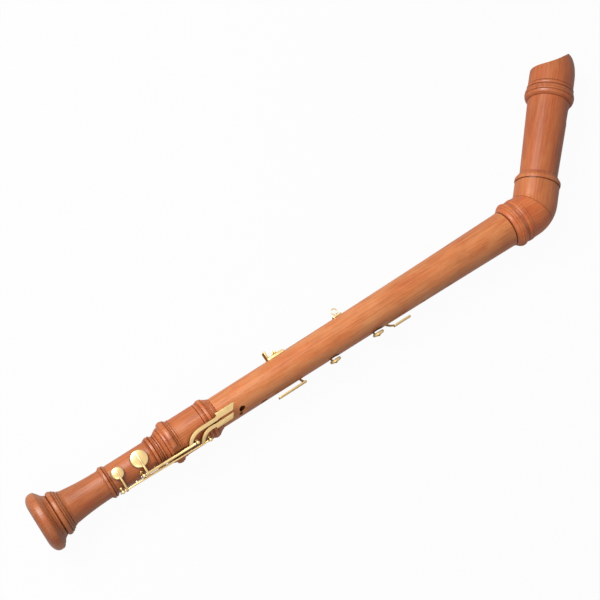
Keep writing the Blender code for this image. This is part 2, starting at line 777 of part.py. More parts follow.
def make_elbow(parent, head_frame):
    """Elbow: two halves glued at the mitre, with a socket for the middle joint and one for the head."""
    bend_start = CORNER - mitre_start()
    collar = ELBOW + ELBOW_BEAD_RISE + ELBOW_BEAD_FALL
    collar_end = collar + ELBOW_COLLAR_LENGTH
    lower_outline = merge_runs(
        [(ELBOW, 0)],
        ogee((ELBOW, ELBOW_MOUTH_RADIUS), (ELBOW + ELBOW_BEAD_RISE, ELBOW_BEAD_RADIUS)),
        ogee((ELBOW + ELBOW_BEAD_RISE, ELBOW_BEAD_RADIUS), (collar, ELBOW_NECK_RADIUS)),
        bead((collar, ELBOW_NECK_RADIUS), (collar_end, ELBOW_RADIUS), ELBOW_COLLAR_HEIGHT, 5),
        [(bend_start, ELBOW_RADIUS), (bend_start, 0)],
    )
    lower_mesh = bent_end(turned(lower_outline), bend_start, BEND / 2)
    lower = add_piece("elbow_lower", lower_mesh, "pearwood", parent)
    socket = TOP_TENON_RADIUS + GAP
    floor = MIDDLE_TOP + TOP_TENON_LENGTH + GAP
    far_side = CORNER + 2 * ELBOW_RADIUS
    bore = [
        (ELBOW - GAP, 0), (ELBOW - GAP, socket), (floor, socket), (floor, HEAD_BORE_RADIUS),
        (far_side, HEAD_BORE_RADIUS), (far_side, 0),
    ]
    cut(lower, turned(bore), "bore")

    upper_start = mitre_start()
    ring = ELBOW_UPPER_LENGTH - ELBOW_TOP_RING_LENGTH
    upper_outline = merge_runs(
        [(upper_start, 0), (upper_start, ELBOW_RADIUS), (ring, ELBOW_RADIUS)],
        quarter((ring, ELBOW_RADIUS), (ring + ELBOW_RING_UNDERSIDE, ELBOW_TOP_RING_RADIUS),
                square_first=True, steps=3),
        quarter((ELBOW_UPPER_LENGTH - ELBOW_RING_ROUNDING, ELBOW_TOP_RING_RADIUS),
                (ELBOW_UPPER_LENGTH, ELBOW_TOP_RIM_RADIUS), square_first=False, steps=3),
        [(ELBOW_UPPER_LENGTH, 0)],
    )
    upper_mesh = bent_end(turned(upper_outline), upper_start, -BEND / 2)
    upper = add_piece("elbow_upper", upper_mesh, "pearwood", head_frame)
    floor = HEAD - HEAD_TENON_LENGTH - GAP
    top = ELBOW_UPPER_LENGTH + GAP
    bore = [
        (-2 * ELBOW_RADIUS, 0), (-2 * ELBOW_RADIUS, HEAD_BORE_RADIUS), (floor, HEAD_BORE_RADIUS),
        (floor, socket), (top, socket), (top, 0),
    ]
    cut(upper, turned(bore), "bore")
    return lower, upper


def beak_cutter():
    """Cutter of the beak's underside, hollow from the back of the head to the tip."""
    back = BEAK_RADIUS + GAP
    depth = back + BEAK_TIP_DEPTH
    steps = 10
    outline = []
    for i in range(steps + 1):
        u = i / steps
        rise = BEAK_CUT_LENGTH * u ** BEAK_CUT_POWER
        outline.append((BEAK_TIP - BEAK_CUT_LENGTH + rise, back - depth * u))
    far = BEAK_TIP + BEAK_DOME_LENGTH
    outline += [(far, -BEAK_TIP_DEPTH), (far, back)]
    return prism(outline, BEAK_RADIUS + GAP)


def make_head(head_frame):
    """Head joint: tenon, tube, rings and beak, with the window and windway cut in its front."""
    tenon_end = HEAD - HEAD_TENON_LENGTH
    bead_top = (HEAD_BEAD + HEAD_BEAD_RISE, HEAD_BEAD_RADIUS)
    groove = (SMALL_BEAD - HEAD_GROOVE, HEAD_GROOVE_RADIUS)
    outline = merge_runs(
        reversed(tenon_outline(HEAD, tenon_end, TOP_TENON_RADIUS, HEAD_BORE_RADIUS)),
        quarter((HEAD, FLANGE_RADIUS), (HEAD_TUBE, HEAD_TUBE_LOW_RADIUS), square_first=False, steps=4),
        [(HEAD_BEAD, HEAD_TUBE_TOP_RADIUS)],
        quarter((HEAD_BEAD, HEAD_TUBE_TOP_RADIUS), bead_top, square_first=True),
        quarter(bead_top, groove, square_first=False),
        bead((SMALL_BEAD, HEAD_GROOVE_RADIUS), (BEAK, HEAD_GROOVE_RADIUS),
             SMALL_BEAD_RADIUS - HEAD_GROOVE_RADIUS, 5),
        [(BEAK, BEAK_RADIUS)],
        quarter((BEAK_DOME, BEAK_RADIUS), (BEAK_TIP, BEAK_TIP_RADIUS), square_first=False, steps=6),
        [(BEAK_TIP, HEAD_BORE_RADIUS)],
    )
    head = add_piece("head_joint", turned(outline, ring=True), "pearwood", head_frame)
    beak_cut = cut(head, beak_cutter(), "beak")
    outside = 2 * HEAD_TUBE_TOP_RADIUS
    ramp_start = LABIUM - (outside - LABIUM_DEPTH) / LABIUM_SLOPE
    inside = HEAD_BORE_RADIUS - WINDOW_PAST_WALL
    window = [
        (BLOCK_END, -inside), (BLOCK_END, -outside), (ramp_start, -outside),
        (LABIUM, -LABIUM_DEPTH), (LABIUM, -inside),
    ]
    window_mesh = prism(window, WINDOW_WIDTH / 2)
    for vertex in window_mesh.verts:
        flare = 1 + (-vertex.co.y - LABIUM_DEPTH) * WINDOW_SPLAY / (WINDOW_WIDTH / 2)
        vertex.co.z *= flare
    cut(head, window_mesh, "window")
    half = WINDOW_WIDTH / 2
    past_tip = BEAK_TIP + GAP
    groove_box = block_between((BLOCK_END - GAP, -WINDWAY_ROOF, -half), (past_tip, -inside, half))
    cut(head, groove_box, "windway")
    make_cork("head_tenon_cork", HEAD, tenon_end, TOP_TENON_RADIUS, head_frame)

    plug_radius = HEAD_BORE_RADIUS - GAP
    plug = add_piece("block", rod(BLOCK_END, past_tip, plug_radius, WOOD_SIDES), "cedar", head_frame)
    floor = WINDWAY_ROOF - WINDWAY_HEIGHT
    ridge = block_between((BLOCK_END, -floor, GAP - half), (past_tip, -inside, half - GAP))
    join(plug, ridge, "windway_floor")
    modifier = plug.modifiers.new("beak", "BOOLEAN")
    modifier.operation = "DIFFERENCE"
    modifier.solver = "EXACT"
    modifier.object = beak_cut
    return head


def along_centreline(points, width):
    """Band stations whose edges lie half a width to each side of (station, angle, radius) points."""
    stations = []
    last = len(points) - 1
    for i, (station, angle, radius) in enumerate(points):
        before = points[max(i - 1, 0)]
        after = points[min(i + 1, last)]
        run = Vector((after[0] - before[0], (after[1] - before[1]) * radius)).normalized()
        low_angle = angle - run.x * width / 2 / radius
        high_angle = angle + run.x * width / 2 / radius
        low = round_body(station + run.y * width / 2, low_angle, radius)
        high = round_body(station - run.y * width / 2, high_angle, radius)
        stations.append((low, high, outward(angle)))
    return stations


def cup_arm(key, top):
    """Arm from the tail, over the hinge tube and on to the middle of the cup's dome."""
    station = key.hole_station
    hinge = hinge_radius(key, station)
    tail = key.tail / hinge
    reach = asin(0.7 * key.cup_radius / top)
    points = [(station, key.angle - tail, hinge)]
    steps = 7
    for i in range(steps + 1):
        u = i / steps
        angle = key.angle + (key.hole_angle - key.angle) * u
        points.append((station, angle, hinge + (top - hinge) * u))
    points.append((station, key.hole_angle + reach, top - CUP_DOME / 4))
    return band(along_centreline(points, ARM_WIDTH), ARM_THICKNESS)


def low_touch(key, touch):
    """Touch of a low key: a bent arm off the top end of the tube, and a slanted plate."""
    start = FOOT_TOP + touch["root"]
    hinge = hinge_radius(key, start)
    plate_low, plate_high = (FOOT_TOP + offset for offset in touch["plate_start"])
    end_low, end_high = (FOOT_TOP + offset for offset in touch["plate_end"])
    low_angle, high_angle = touch["plate_angles"]
    points = []
    steps = 8
    for i in range(steps + 1):
        u = pi / 2 * i / steps
        station = start + touch["bend"] * (1 - cos(u))
        angle = key.angle + (touch["arm_angle"] - key.angle) * sin(u)
        points.append((station, angle, hinge + (TOUCH_RADIUS - hinge) * i / steps))
    points.append((plate_low - GAP, touch["arm_angle"], TOUCH_RADIUS))
    stations = along_centreline(points, LOW_TOUCH_ARM_WIDTH)
    middle_angle = (low_angle + high_angle) / 2
    for low_station, high_station in ((plate_low, plate_high), (end_low, end_high)):
        low = round_body(low_station, low_angle, TOUCH_RADIUS)
        high = round_body(high_station, high_angle, TOUCH_RADIUS)
        stations.append((low, high, outward(middle_angle)))
    return band(stations, LOW_TOUCH_THICKNESS)


def front_touch(key, touch):
    """Touch of a key for hole 3 or 4: an arm round the tube to a flat plate over the front line."""
    arm = key.posts[0] + touch["arm"]
    start, end = MIDDLE + touch["start"], MIDDLE + touch["end"]
    hinge = hinge_radius(key, arm)
    height = middle_radius(end) + FRONT_TOUCH_HEIGHT + FRONT_TOUCH_THICKNESS / 2
    half = FRONT_TOUCH_WIDTH / 2
    root = min(max(arm, start + half), end - ARM_WIDTH / 2)
    steps = 6
    points = []
    for i in range(steps + 1):
        u = i / steps
        angle = key.angle * (1 - u) + key.hole_angle * u
        points.append((arm + (root - arm) * u, angle, hinge + (height - hinge) * u))
    arm_mesh = band(along_centreline(points, ARM_WIDTH), ARM_THICKNESS)
    frame = radial_frame(0, key.hole_angle)
    low = (height - FRONT_TOUCH_THICKNESS / 2, -half, start)
    high = (height + FRONT_TOUCH_THICKNESS / 2, half, end)
    return arm_mesh, block_between(low, high, frame)


def make_cup(key):
    """Turned pad cup in its closed place, and the cutter of its pad's bed."""
    frame = radial_frame(key.hole_station, key.hole_angle)
    rim = seat_height(key) + CLOSED_PAD_GAP + PAD_PROUD
    edge = rim + CUP_DEPTH
    top = edge + CUP_DOME
    dome = quarter((edge, key.cup_radius), (top, 0), square_first=False, steps=4)
    outline = merge_runs([(rim, 0), (rim, key.cup_radius)], dome)
    cup = turned(outline, CUP_SIDES, frame)
    bed_depth = rim - PAD_PROUD + PAD_THICKNESS + GAP
    bed = rod(rim - GAP, bed_depth, key.cup_radius - CUP_WALL, CUP_SIDES, frame)
    return cup, bed, top


def make_key(key, touches, parent):
    """One key with its pad and bumper, modelled closed and then turned up to rest open."""
    beside_post = POST_HEAD_RADIUS + GAP
    base = hinge_point(key, key.posts[0] + beside_post)
    end = hinge_point(key, key.posts[1] - beside_post)
    cup, bed, top = make_cup(key)
    piece = add_piece(f"{key.name}_key", rod_between(base, end, key.tube_radius), "brass", parent, base)
    shapes = {"cup_arm": cup_arm(key, top + ARM_ON_CUP), "cup": cup, "spring_lug": spring_lug(key)}
    for number, touch in enumerate(touches, 1):
        shapes[f"touch_{number}"] = touch
    for label, mesh in shapes.items():
        bmesh.ops.translate(mesh, vec=-base, verts=mesh.verts)
        join(piece, mesh, label)
    reach = (end - base).normalized() * ROD_HEAD_RADIUS
    bore = rod_between(-reach, end - base + reach, ROD_RADIUS + RUNNING_FIT)
    cut(piece, bore, "rod_bore")
    bmesh.ops.translate(bed, vec=-base, verts=bed.verts)
    cut(piece, bed, "pad_bed")
    piece.rotation_mode = "QUATERNION"
    piece.rotation_quaternion = Quaternion(end - base, key.open_angle)

    low = seat_height(key) + CLOSED_PAD_GAP
    radius = key.cup_radius - CUP_WALL - GAP
    pad = rod(low, low + PAD_THICKNESS, radius, CUP_SIDES, radial_frame(key.hole_station, key.hole_angle))
    bmesh.ops.translate(pad, vec=-base, verts=pad.verts)
    add_piece(f"{key.name}_pad", pad, "leather", piece)
    bumper = make_bumper(key)
    bmesh.ops.translate(bumper, vec=-base, verts=bumper.verts)
    add_piece(f"{key.name}_bumper", bumper, "cork", piece)
    return piece


def make_bumper(key):
    """Cork under the tail, which meets the wood when the key stands open."""
    station = key.hole_station
    hinge = hinge_point(key, station)
    hinge_distance = hinge_radius(key, station)
    centre_angle = key.angle - (key.tail - GAP - BUMPER_RADIUS) / hinge_distance
    under_tail = round_body(station, centre_angle, hinge_distance - ARM_THICKNESS / 2 - 2 * GAP)
    open_turn = Matrix.Rotation(key.open_angle, 3, "X")
    opened = hinge + open_turn @ (under_tail - hinge)
    on_wood = Vector((0, opened.y, opened.z)).normalized()
    foot = Vector((station, 0, 0)) + on_wood * (body_radius(station) + GAP + bumper_sag(station))
    closed_foot = hinge + open_turn.inverted() @ (foot - hinge)
    return rod_between(closed_foot, under_tail, BUMPER_RADIUS)


def bumper_sag(station):
    """Extra height that keeps a flat-ended bumper's rim clear of the round wood."""
    radius = body_radius(station)
    return radius - sqrt(radius ** 2 - BUMPER_RADIUS ** 2)


def spring_lug(key):
    """Lug under the hinge tube, against which the spring presses."""
    hinge = hinge_radius(key, key.lug_station)
    half = LUG_THICKNESS / 2
    low = (hinge - SPRING_DROP - 2 * SPRING_RADIUS, -half, key.lug_station - LUG_WIDTH / 2)
    high = (hinge, half, key.lug_station + LUG_WIDTH / 2)
    return block_between(low, high, radial_frame(0, key.angle))


def spring_ends(key):
    """Ends of a needle spring: in the stem of the lower post, and beside the lug."""
    root = round_body(key.posts[0], key.angle, hinge_radius(key, key.posts[0]) - SPRING_DROP)
    beyond = key.lug_station + LUG_WIDTH
    aside = LUG_THICKNESS / 2 + SPRING_REST_GAP + SPRING_RADIUS
    radius = hinge_radius(key, beyond) - SPRING_DROP
    tip = round_body(beyond, key.angle - aside / radius, radius)
    return root, tip


def make_post(name, key, station, parent):
    """Post screwed in the wood: shank, flange, stem and a round head that holds the hinge rod."""
    wood = body_radius(station)
    hinge = hinge_radius(key, station)
    flange = wood + GAP
    head = hinge - POST_HEAD_RADIUS
    stem = max(head, flange + POST_FLANGE_THICKNESS)
    top = hinge + POST_HEAD_RADIUS
    outline = merge_runs(
        [(wood - POST_SHANK_LENGTH, 0), (wood - POST_SHANK_LENGTH, POST_SHANK_RADIUS)],
        [(flange, POST_SHANK_RADIUS), (flange, POST_FLANGE_RADIUS)],
        [(flange + POST_FLANGE_THICKNESS, POST_FLANGE_RADIUS), (flange + POST_FLANGE_THICKNESS, POST_RADIUS)],
        [(stem, POST_RADIUS), (hinge, POST_HEAD_RADIUS)],
        quarter((hinge, POST_HEAD_RADIUS), (top, 0), square_first=False, steps=3),
    )
    mesh = turned(outline, SMALL_SIDES, radial_frame(station, key.angle))
    post = add_piece(name, mesh, "brass", parent)
    low, high = (hinge_point(key, station + side) for side in (-2 * POST_HEAD_RADIUS, 2 * POST_HEAD_RADIUS))
    cut(post, rod_between(low, high, ROD_RADIUS + RUNNING_FIT), "rod_hole")
    return post


def make_hinge(key, parent):
    """Posts, hinge rod and spring of one key."""
    lower = make_post(f"{key.name}_lower_post", key, key.posts[0], parent)
    make_post(f"{key.name}_upper_post", key, key.posts[1], parent)
    start = hinge_point(key, key.posts[0] - POST_HEAD_RADIUS)
    end = hinge_point(key, key.posts[1] + POST_HEAD_RADIUS)
    length = (end - start).length
    outline = [
        (-GAP - ROD_HEAD_LENGTH, 0), (-GAP - ROD_HEAD_LENGTH, ROD_HEAD_RADIUS),
        (-GAP, ROD_HEAD_RADIUS), (-GAP, ROD_RADIUS), (length, ROD_RADIUS), (length, 0),
    ]
    rod_mesh = turned(outline, SMALL_SIDES, line_frame(start, end))
    add_piece(f"{key.name}_hinge_rod", rod_mesh, "steel", parent)
    root, tip = spring_ends(key)
    add_piece(f"{key.name}_spring", rod_between(root, tip, SPRING_RADIUS, LOOP_SIDES), "steel", parent)
    beyond = root - (tip - root).normalized() * (POST_RADIUS + GAP)
    inside = root + (tip - root).normalized() * (POST_FLANGE_RADIUS + GAP)
    cut(lower, rod_between(beyond, inside, SPRING_RADIUS + GAP, LOOP_SIDES), "spring_hole")


def thumb_base_screws():
    """Places (station, sideways offset) of the two screws that hold the thumb rest's base."""
    station = MIDDLE + THUMB_REST_FROM_SHOULDER + THUMB_SLIDE_LENGTH / 2
    aside = THUMB_BASE_WIDTH / 2 - SCREW_EDGE
    return [(station, -aside), (station, aside)]


def strap_screws():
    """Places (station, sideways offset) of the two screws that hold the strap ring's plate."""
    start = MIDDLE + STRAP_PLATE_FROM_SHOULDER
    return [(start + SCREW_EDGE, 0), (start + STRAP_PLATE_LENGTH - SCREW_EDGE, 0)]


def back_frame(station, aside=0):
    """Frame whose own X axis points straight back from the body, off to one side."""
    return Matrix.Translation((0, 0, aside)) @ radial_frame(station, pi)


def clamp_station():
    """Station of the thumb rest's clamp screw, in the middle of the slide behind its blade."""
    start = MIDDLE + THUMB_REST_FROM_SHOULDER
    return start + (THUMB_BLADE_THICKNESS + THUMB_SLIDE_LENGTH) / 2


def clamp_drill():
    """Cutter of the hole in the wood under the clamp screw."""
    station = clamp_station()
    wood = body_radius(station)
    radius = CLAMP_SCREW_RADIUS + GAP
    return rod(wood - CLAMP_SCREW_DEPTH - GAP, wood + GAP, radius, CUP_SIDES, back_frame(station))


def saddle(start, end, width, low, thickness, name, parent):
    """Plate on the back of the middle joint, filed hollow to sit on the round wood."""
    frame = radial_frame(0, pi)
    mesh = block_between((low - width / 4, -width / 2, start), (low + thickness, width / 2, end), frame)
    plate = add_piece(name, mesh, "brass", parent)
    cut(plate, rod(start - GAP, end + GAP, low, WOOD_SIDES), "hollow")
    return plate


def make_screw(name, place_at, seat, parent):
    """Small wood screw with a domed head, on the back of the middle joint."""
    low = middle_radius(place_at[0]) - SCREW_LENGTH
    outline = merge_runs(
        [(low, 0), (low, SCREW_RADIUS), (seat, SCREW_RADIUS), (seat, SCREW_HEAD_RADIUS)],
        quarter((seat, SCREW_HEAD_RADIUS), (seat + SCREW_HEAD_HEIGHT, 0), square_first=False, steps=3),
    )
    mesh = turned(outline, SMALL_SIDES, back_frame(*place_at))
    return add_piece(name, mesh, "brass", parent)


def make_thumb_rest(parent):
    """Thumb rest: a base screwed to the wood, an L-shaped slide, and a knurled clamp screw."""
    start = MIDDLE + THUMB_REST_FROM_SHOULDER
    end = start + THUMB_SLIDE_LENGTH
    base_start, base_end = start - THUMB_BASE_OVERHANG, end + THUMB_BASE_OVERHANG
    wood = middle_radius(base_end) + GAP
    base_top = wood + THUMB_BASE_THICKNESS
    base = saddle(base_start, base_end, THUMB_BASE_WIDTH, wood, THUMB_BASE_THICKNESS,
                  "thumb_rest_base", parent)
    station = clamp_station()
    under = wood - THUMB_BASE_WIDTH / 4
    holes = [rod(under, base_top + GAP, SCREW_RADIUS + GAP, SMALL_SIDES, back_frame(*place_at))
             for place_at in thumb_base_screws()]
    holes.append(rod(under, base_top + GAP, CLAMP_SCREW_RADIUS + GAP, CUP_SIDES, back_frame(station)))
    cut(base, together(holes), "screw_holes")
    for number, place_at in enumerate(thumb_base_screws(), 1):
        make_screw(f"thumb_base_screw_{number}", place_at, base_top + GAP, parent)

    frame = radial_frame(0, pi)
    slide_low = base_top + GAP
    slide_top = slide_low + THUMB_SLIDE_THICKNESS
    half = THUMB_SLIDE_WIDTH / 2
    plate = block_between((slide_low, -half, start), (slide_top, half, end), frame)
    slide = add_piece("thumb_rest_slide", plate, "brass", parent)
    blade_half = THUMB_BLADE_WIDTH / 2
    blade = block_between((slide_low + GAP, -blade_half, start - GAP),
                          (slide_top + THUMB_BLADE_HEIGHT, blade_half, start + THUMB_BLADE_THICKNESS), frame)
    join(slide, blade, "blade")
    slot = CLAMP_SCREW_RADIUS + GAP
    run = THUMB_SLIDE_TRAVEL + slot
    slot_low = (slide_low - GAP, -slot, station - run)
    slot_high = (slide_top + GAP, slot, station + run)
    cut(slide, block_between(slot_low, slot_high, frame), "slot")

    wood_here = body_radius(station)
    head_low = slide_top + GAP
    head_top = head_low + CLAMP_HEAD_HEIGHT
    shank = wood_here - CLAMP_SCREW_DEPTH
    outline = [
        (shank, 0), (shank, CLAMP_SCREW_RADIUS), (head_low, CLAMP_SCREW_RADIUS),
        (head_low, CLAMP_HEAD_RADIUS), (head_top, CLAMP_HEAD_RADIUS), (head_top, 0),
    ]
    mesh = turned(outline, CUP_SIDES, radial_frame(station, pi))
    add_piece("thumb_clamp_screw", mesh, "brass", parent, Vector((station, 0, 0)))


def make_strap_ring(parent):
    """Strap ring: an eye of round wire soldered to a plate, with a screw at each end."""
    start = MIDDLE + STRAP_PLATE_FROM_SHOULDER
    end = start + STRAP_PLATE_LENGTH
    wood = middle_radius(end) + GAP
    top = wood + STRAP_PLATE_THICKNESS
    plate = saddle(start, end, STRAP_PLATE_WIDTH, wood, STRAP_PLATE_THICKNESS, "strap_ring", parent)
    under = wood - STRAP_PLATE_WIDTH / 4
    holes = [rod(under, top + GAP, SCREW_RADIUS + GAP, SMALL_SIDES, back_frame(*place_at))
             for place_at in strap_screws()]
    cut(plate, together(holes), "screw_holes")
    wire = []
    for i in range(LOOP_SIDES):
        turn = 2 * pi * i / LOOP_SIDES
        wire.append((STRAP_WIRE_RADIUS * sin(turn), STRAP_RING_RADIUS + STRAP_WIRE_RADIUS * cos(turn)))
    neck_top = top + STRAP_NECK_HEIGHT + STRAP_WIRE_RADIUS
    middle = (start + end) / 2
    join(plate, rod(top - GAP, neck_top, STRAP_NECK_RADIUS, SMALL_SIDES, back_frame(middle)), "neck")
    centre = round_body(middle, pi, neck_top + STRAP_RING_RADIUS)
    eye = turned(wire, CUP_SIDES, frame_of(centre, Vector((0, 0, 1)), Vector((1, 0, 0))), ring=True)
    join(plate, eye, "eye")
    for number, place_at in enumerate(strap_screws(), 1):
        make_screw(f"strap_plate_screw_{number}", place_at, top + GAP, parent)


def rest_on_floor(frame):
    """Move the whole instrument so that the middle of its base is at the world's origin."""
    bpy.context.view_layer.update()
    graph = bpy.context.evaluated_depsgraph_get()
    points = []
    for thing in bpy.context.scene.objects:
        if thing.type == "MESH" and not thing.hide_render:
            shape = thing.evaluated_get(graph)
            points += [shape.matrix_world @ vertex.co for vertex in shape.data.vertices]
    low = Vector([min(point[i] for point in points) for i in range(3)])
    high = Vector([max(point[i] for point in points) for i in range(3)])
    frame.location = (-(low.x + high.x) / 2, -(low.y + high.y) / 2, -low.z)
    bpy.context.view_layer.update()


def build():
    """Make every piece of the instrument."""
    for thing in list(bpy.data.objects):
        bpy.data.objects.remove(thing)
    body_frame = empty("body_frame", None)
    head_frame = empty("head_frame", body_frame, (CORNER, 0, 0), BEND)
    make_foot(body_frame)
    make_middle(body_frame)
    make_elbow(body_frame, head_frame)
    make_head(head_frame)
    touches = {
        LOW_F.name: [low_touch(LOW_F, LOW_F_TOUCH)],
        LOW_F_SHARP.name: [low_touch(LOW_F_SHARP, LOW_F_SHARP_TOUCH)],
        HOLE_4.name: front_touch(HOLE_4, HOLE_4_TOUCH),
        HOLE_3.name: front_touch(HOLE_3, HOLE_3_TOUCH),
    }
    for key in FOOT_KEYS + MIDDLE_KEYS:
        make_key(key, touches[key.name], body_frame)
        make_hinge(key, body_frame)
    make_thumb_rest(body_frame)
    make_strap_ring(body_frame)
    rest_on_floor(body_frame)


build()
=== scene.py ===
"""Looks of a bent-head bass recorder: turned fruitwood joints, brass keys on posts, a sliding
thumb rest and a strap ring. It lies on its left side, as it was photographed from above."""

import json
from dataclasses import dataclass
from math import asin, cos, pi, radians, sin, sqrt, tan

import bmesh
import bpy
from mathutils import Matrix, Quaternion, Vector


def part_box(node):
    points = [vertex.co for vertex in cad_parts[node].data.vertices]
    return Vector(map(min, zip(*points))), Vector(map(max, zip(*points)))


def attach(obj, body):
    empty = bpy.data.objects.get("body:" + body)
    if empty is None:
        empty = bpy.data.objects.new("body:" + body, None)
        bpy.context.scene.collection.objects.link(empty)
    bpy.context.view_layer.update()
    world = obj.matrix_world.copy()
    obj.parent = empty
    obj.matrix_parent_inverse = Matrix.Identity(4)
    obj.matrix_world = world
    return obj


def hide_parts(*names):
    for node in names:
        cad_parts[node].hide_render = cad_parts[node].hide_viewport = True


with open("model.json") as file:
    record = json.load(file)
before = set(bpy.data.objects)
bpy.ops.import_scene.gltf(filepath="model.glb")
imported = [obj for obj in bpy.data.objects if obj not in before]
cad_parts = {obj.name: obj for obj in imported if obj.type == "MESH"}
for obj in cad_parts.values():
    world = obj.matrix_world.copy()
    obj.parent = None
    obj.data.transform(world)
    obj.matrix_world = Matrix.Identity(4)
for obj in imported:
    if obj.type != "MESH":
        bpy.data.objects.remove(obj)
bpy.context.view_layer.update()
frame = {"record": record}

# Camera
# The instrument is seen from about a metre and a half above it, a little from the bell's side,
# with the picture turned so that the body runs up from the lower left corner.
MM = 0.001
CAMERA_PLACE = Vector((11.96, -167.31, 1492.75)) * MM
CAMERA_TARGET = Vector((413.8, 62.8, 0.0)) * MM
CAMERA_ROLL = radians(27.19)
CAMERA_LENS = 74.73
CAMERA_SENSOR = 36.0
CAMERA_CLIP_START = 50.0 * MM
PICTURE_PIXELS = 600
CAMERA_OFF_CENTRE_PIXELS = 0.5

bell_low, bell_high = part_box("foot_joint")
body_origin = Vector((bell_low.x, (bell_low.y + bell_high.y) / 2, (bell_low.z + bell_high.z) / 2))
BODY = Matrix.Translation(body_origin)

camera_data = bpy.data.cameras.new("camera")
camera_data.lens = CAMERA_LENS
camera_data.sensor_width = CAMERA_SENSOR
camera_data.shift_x = -CAMERA_OFF_CENTRE_PIXELS / PICTURE_PIXELS
camera_data.shift_y = CAMERA_OFF_CENTRE_PIXELS / PICTURE_PIXELS
camera_data.clip_start = CAMERA_CLIP_START
camera = bpy.data.objects.new("camera", camera_data)
bpy.context.scene.collection.objects.link(camera)
sight = (CAMERA_TARGET - CAMERA_PLACE).to_track_quat("-Z", "Y") @ Quaternion((0, 0, 1), CAMERA_ROLL)
camera.matrix_world = BODY @ Matrix.Translation(CAMERA_PLACE) @ sight.to_matrix().to_4x4()
bpy.context.scene.camera = camera
bpy.context.scene.view_settings.view_transform = "Standard"


# Light, background and floor
# A large soft box stands above the instrument's back, with a weaker one opposite and an even
# white room, which the polished brass mirrors. The floor is white with a faint shadow.
class NodeTree:
    """Emptied node tree of a material or world."""

    def __init__(self, owner):
        owner.use_nodes = True
        self.tree = owner.node_tree
        self.tree.nodes.clear()

    def add(self, kind, inputs, **settings):
        """Add a node. An input is given a value, an output, or a node whose first output feeds it."""
        node = self.tree.nodes.new(kind)
        for name, value in settings.items():
            setattr(node, name, value)
        for name, value in inputs.items():
            if isinstance(value, bpy.types.Node):
                value = value.outputs[0]
            if isinstance(value, bpy.types.NodeSocket):
                self.tree.links.new(value, node.inputs[name])
            else:
                node.inputs[name].default_value = value
        return node

    def maths(self, operation, *values, clamp=False):
        """Result of a sum, product or other operation on a few numbers or outputs."""
        return self.add("ShaderNodeMath", dict(enumerate(values)), operation=operation, use_clamp=clamp)

    def seen_directly(self, mirrored):
        """Result that is 1 for camera and see-through rays, a given share for mirror rays, else 0."""
        ray = self.add("ShaderNodeLightPath", {}).outputs
        mirrored_or_seen = self.maths("MULTIPLY_ADD", ray["Is Glossy Ray"], mirrored, ray["Is Camera Ray"])
        return self.maths("ADD", mirrored_or_seen, ray["Is Transmission Ray"], clamp=True)


WHITE = (1, 1, 1, 1)
ROOM_STRENGTH = 0.20
ROOM_MIRRORED = 0.85
LIT_POINT = Vector((0.0, 0.0, 0.03))
world = bpy.data.worlds.new("white_room")
bpy.context.scene.world = world
nodes = NodeTree(world)
plain = nodes.add("ShaderNodeBackground", {"Color": WHITE, "Strength": ROOM_STRENGTH})
white = nodes.add("ShaderNodeBackground", {"Color": WHITE, "Strength": 1.0})
room = nodes.add("ShaderNodeMixShader", {0: nodes.seen_directly(ROOM_MIRRORED), 1: plain, 2: white})
nodes.add("ShaderNodeOutputWorld", {0: room})


def soft_box(name, place, size, power):
    """Square area lamp that faces the instrument's middle."""
    data = bpy.data.lights.new(name, "AREA")
    data.size = size
    data.energy = power
    lamp = bpy.data.objects.new(name, data)
    bpy.context.scene.collection.objects.link(lamp)
    lamp.location = place
    lamp.rotation_euler = (LIT_POINT - place).to_track_quat("-Z", "Y").to_euler()


soft_box("key_light", place=Vector((-0.75, 0.95, 1.5)), size=1.0, power=43.0)
soft_box("front_light", place=Vector((-1.0, -1.0, 1.5)), size=0.9, power=6.0)

FLOOR_SIZE = 12.0
FLOOR_COLOUR = (0.50, 0.50, 0.50, 1)
FLOOR_GLOW_SHARE = 0.96
FLOOR_MIRRORED = 0.28
floor_mesh = bmesh.new()
bmesh.ops.create_grid(floor_mesh, x_segments=1, y_segments=1, size=FLOOR_SIZE / 2)
floor_data = bpy.data.meshes.new("floor")
floor_mesh.to_mesh(floor_data)
floor_mesh.free()
floor = bpy.data.objects.new("floor", floor_data)
bpy.context.scene.collection.objects.link(floor)
floor_material = bpy.data.materials.new("white_floor")
nodes = NodeTree(floor_material)
matt = nodes.add("ShaderNodeBsdfDiffuse", {"Color": FLOOR_COLOUR})
glow = nodes.add("ShaderNodeEmission", {"Color": WHITE, "Strength": 1.0})
share = nodes.maths("MULTIPLY", nodes.seen_directly(FLOOR_MIRRORED), FLOOR_GLOW_SHARE)
surface = nodes.add("ShaderNodeMixShader", {0: share, 1: matt, 2: glow})
nodes.add("ShaderNodeOutputMaterial", {0: surface})
floor.data.materials.append(floor_material)


# Foot joint
# Turned from one blank of pear: a thick bell, three sets of rings and the swollen socket that
# takes the middle joint's tenon. Oiled and burnished, so its light is soft and broad.
GAP = 0.3 * MM
FOOT_TOP = 245.0 * MM
BELL_ROUNDING = 9.0 * MM
BELL_EDGE = 12.0 * MM
BELL_NECK = 23.5 * MM
BELL_RING = 25.0 * MM
BELL_RING_CREST = 28.3 * MM
FLARE = 42.0 * MM
THIN_BEAD = 89.5 * MM
FOOT_TUBE = 98.1 * MM
LOW_BEAD = 152.5 * MM
SOCKET_SLOPE = 163.0 * MM
BIG_BEAD = 175.5 * MM
SOCKET = 187.0 * MM
SOCKET_COLLAR_END = SOCKET + 4.5 * MM
MOUTH_BEAD = 229.5 * MM
MOUTH_END = 238.5 * MM
BELL_FACE_RADIUS = 23.0 * MM
BELL_RADIUS = 37.5 * MM
BELL_NECK_RADIUS = 27.1 * MM
BELL_RING_RADIUS = 28.6 * MM
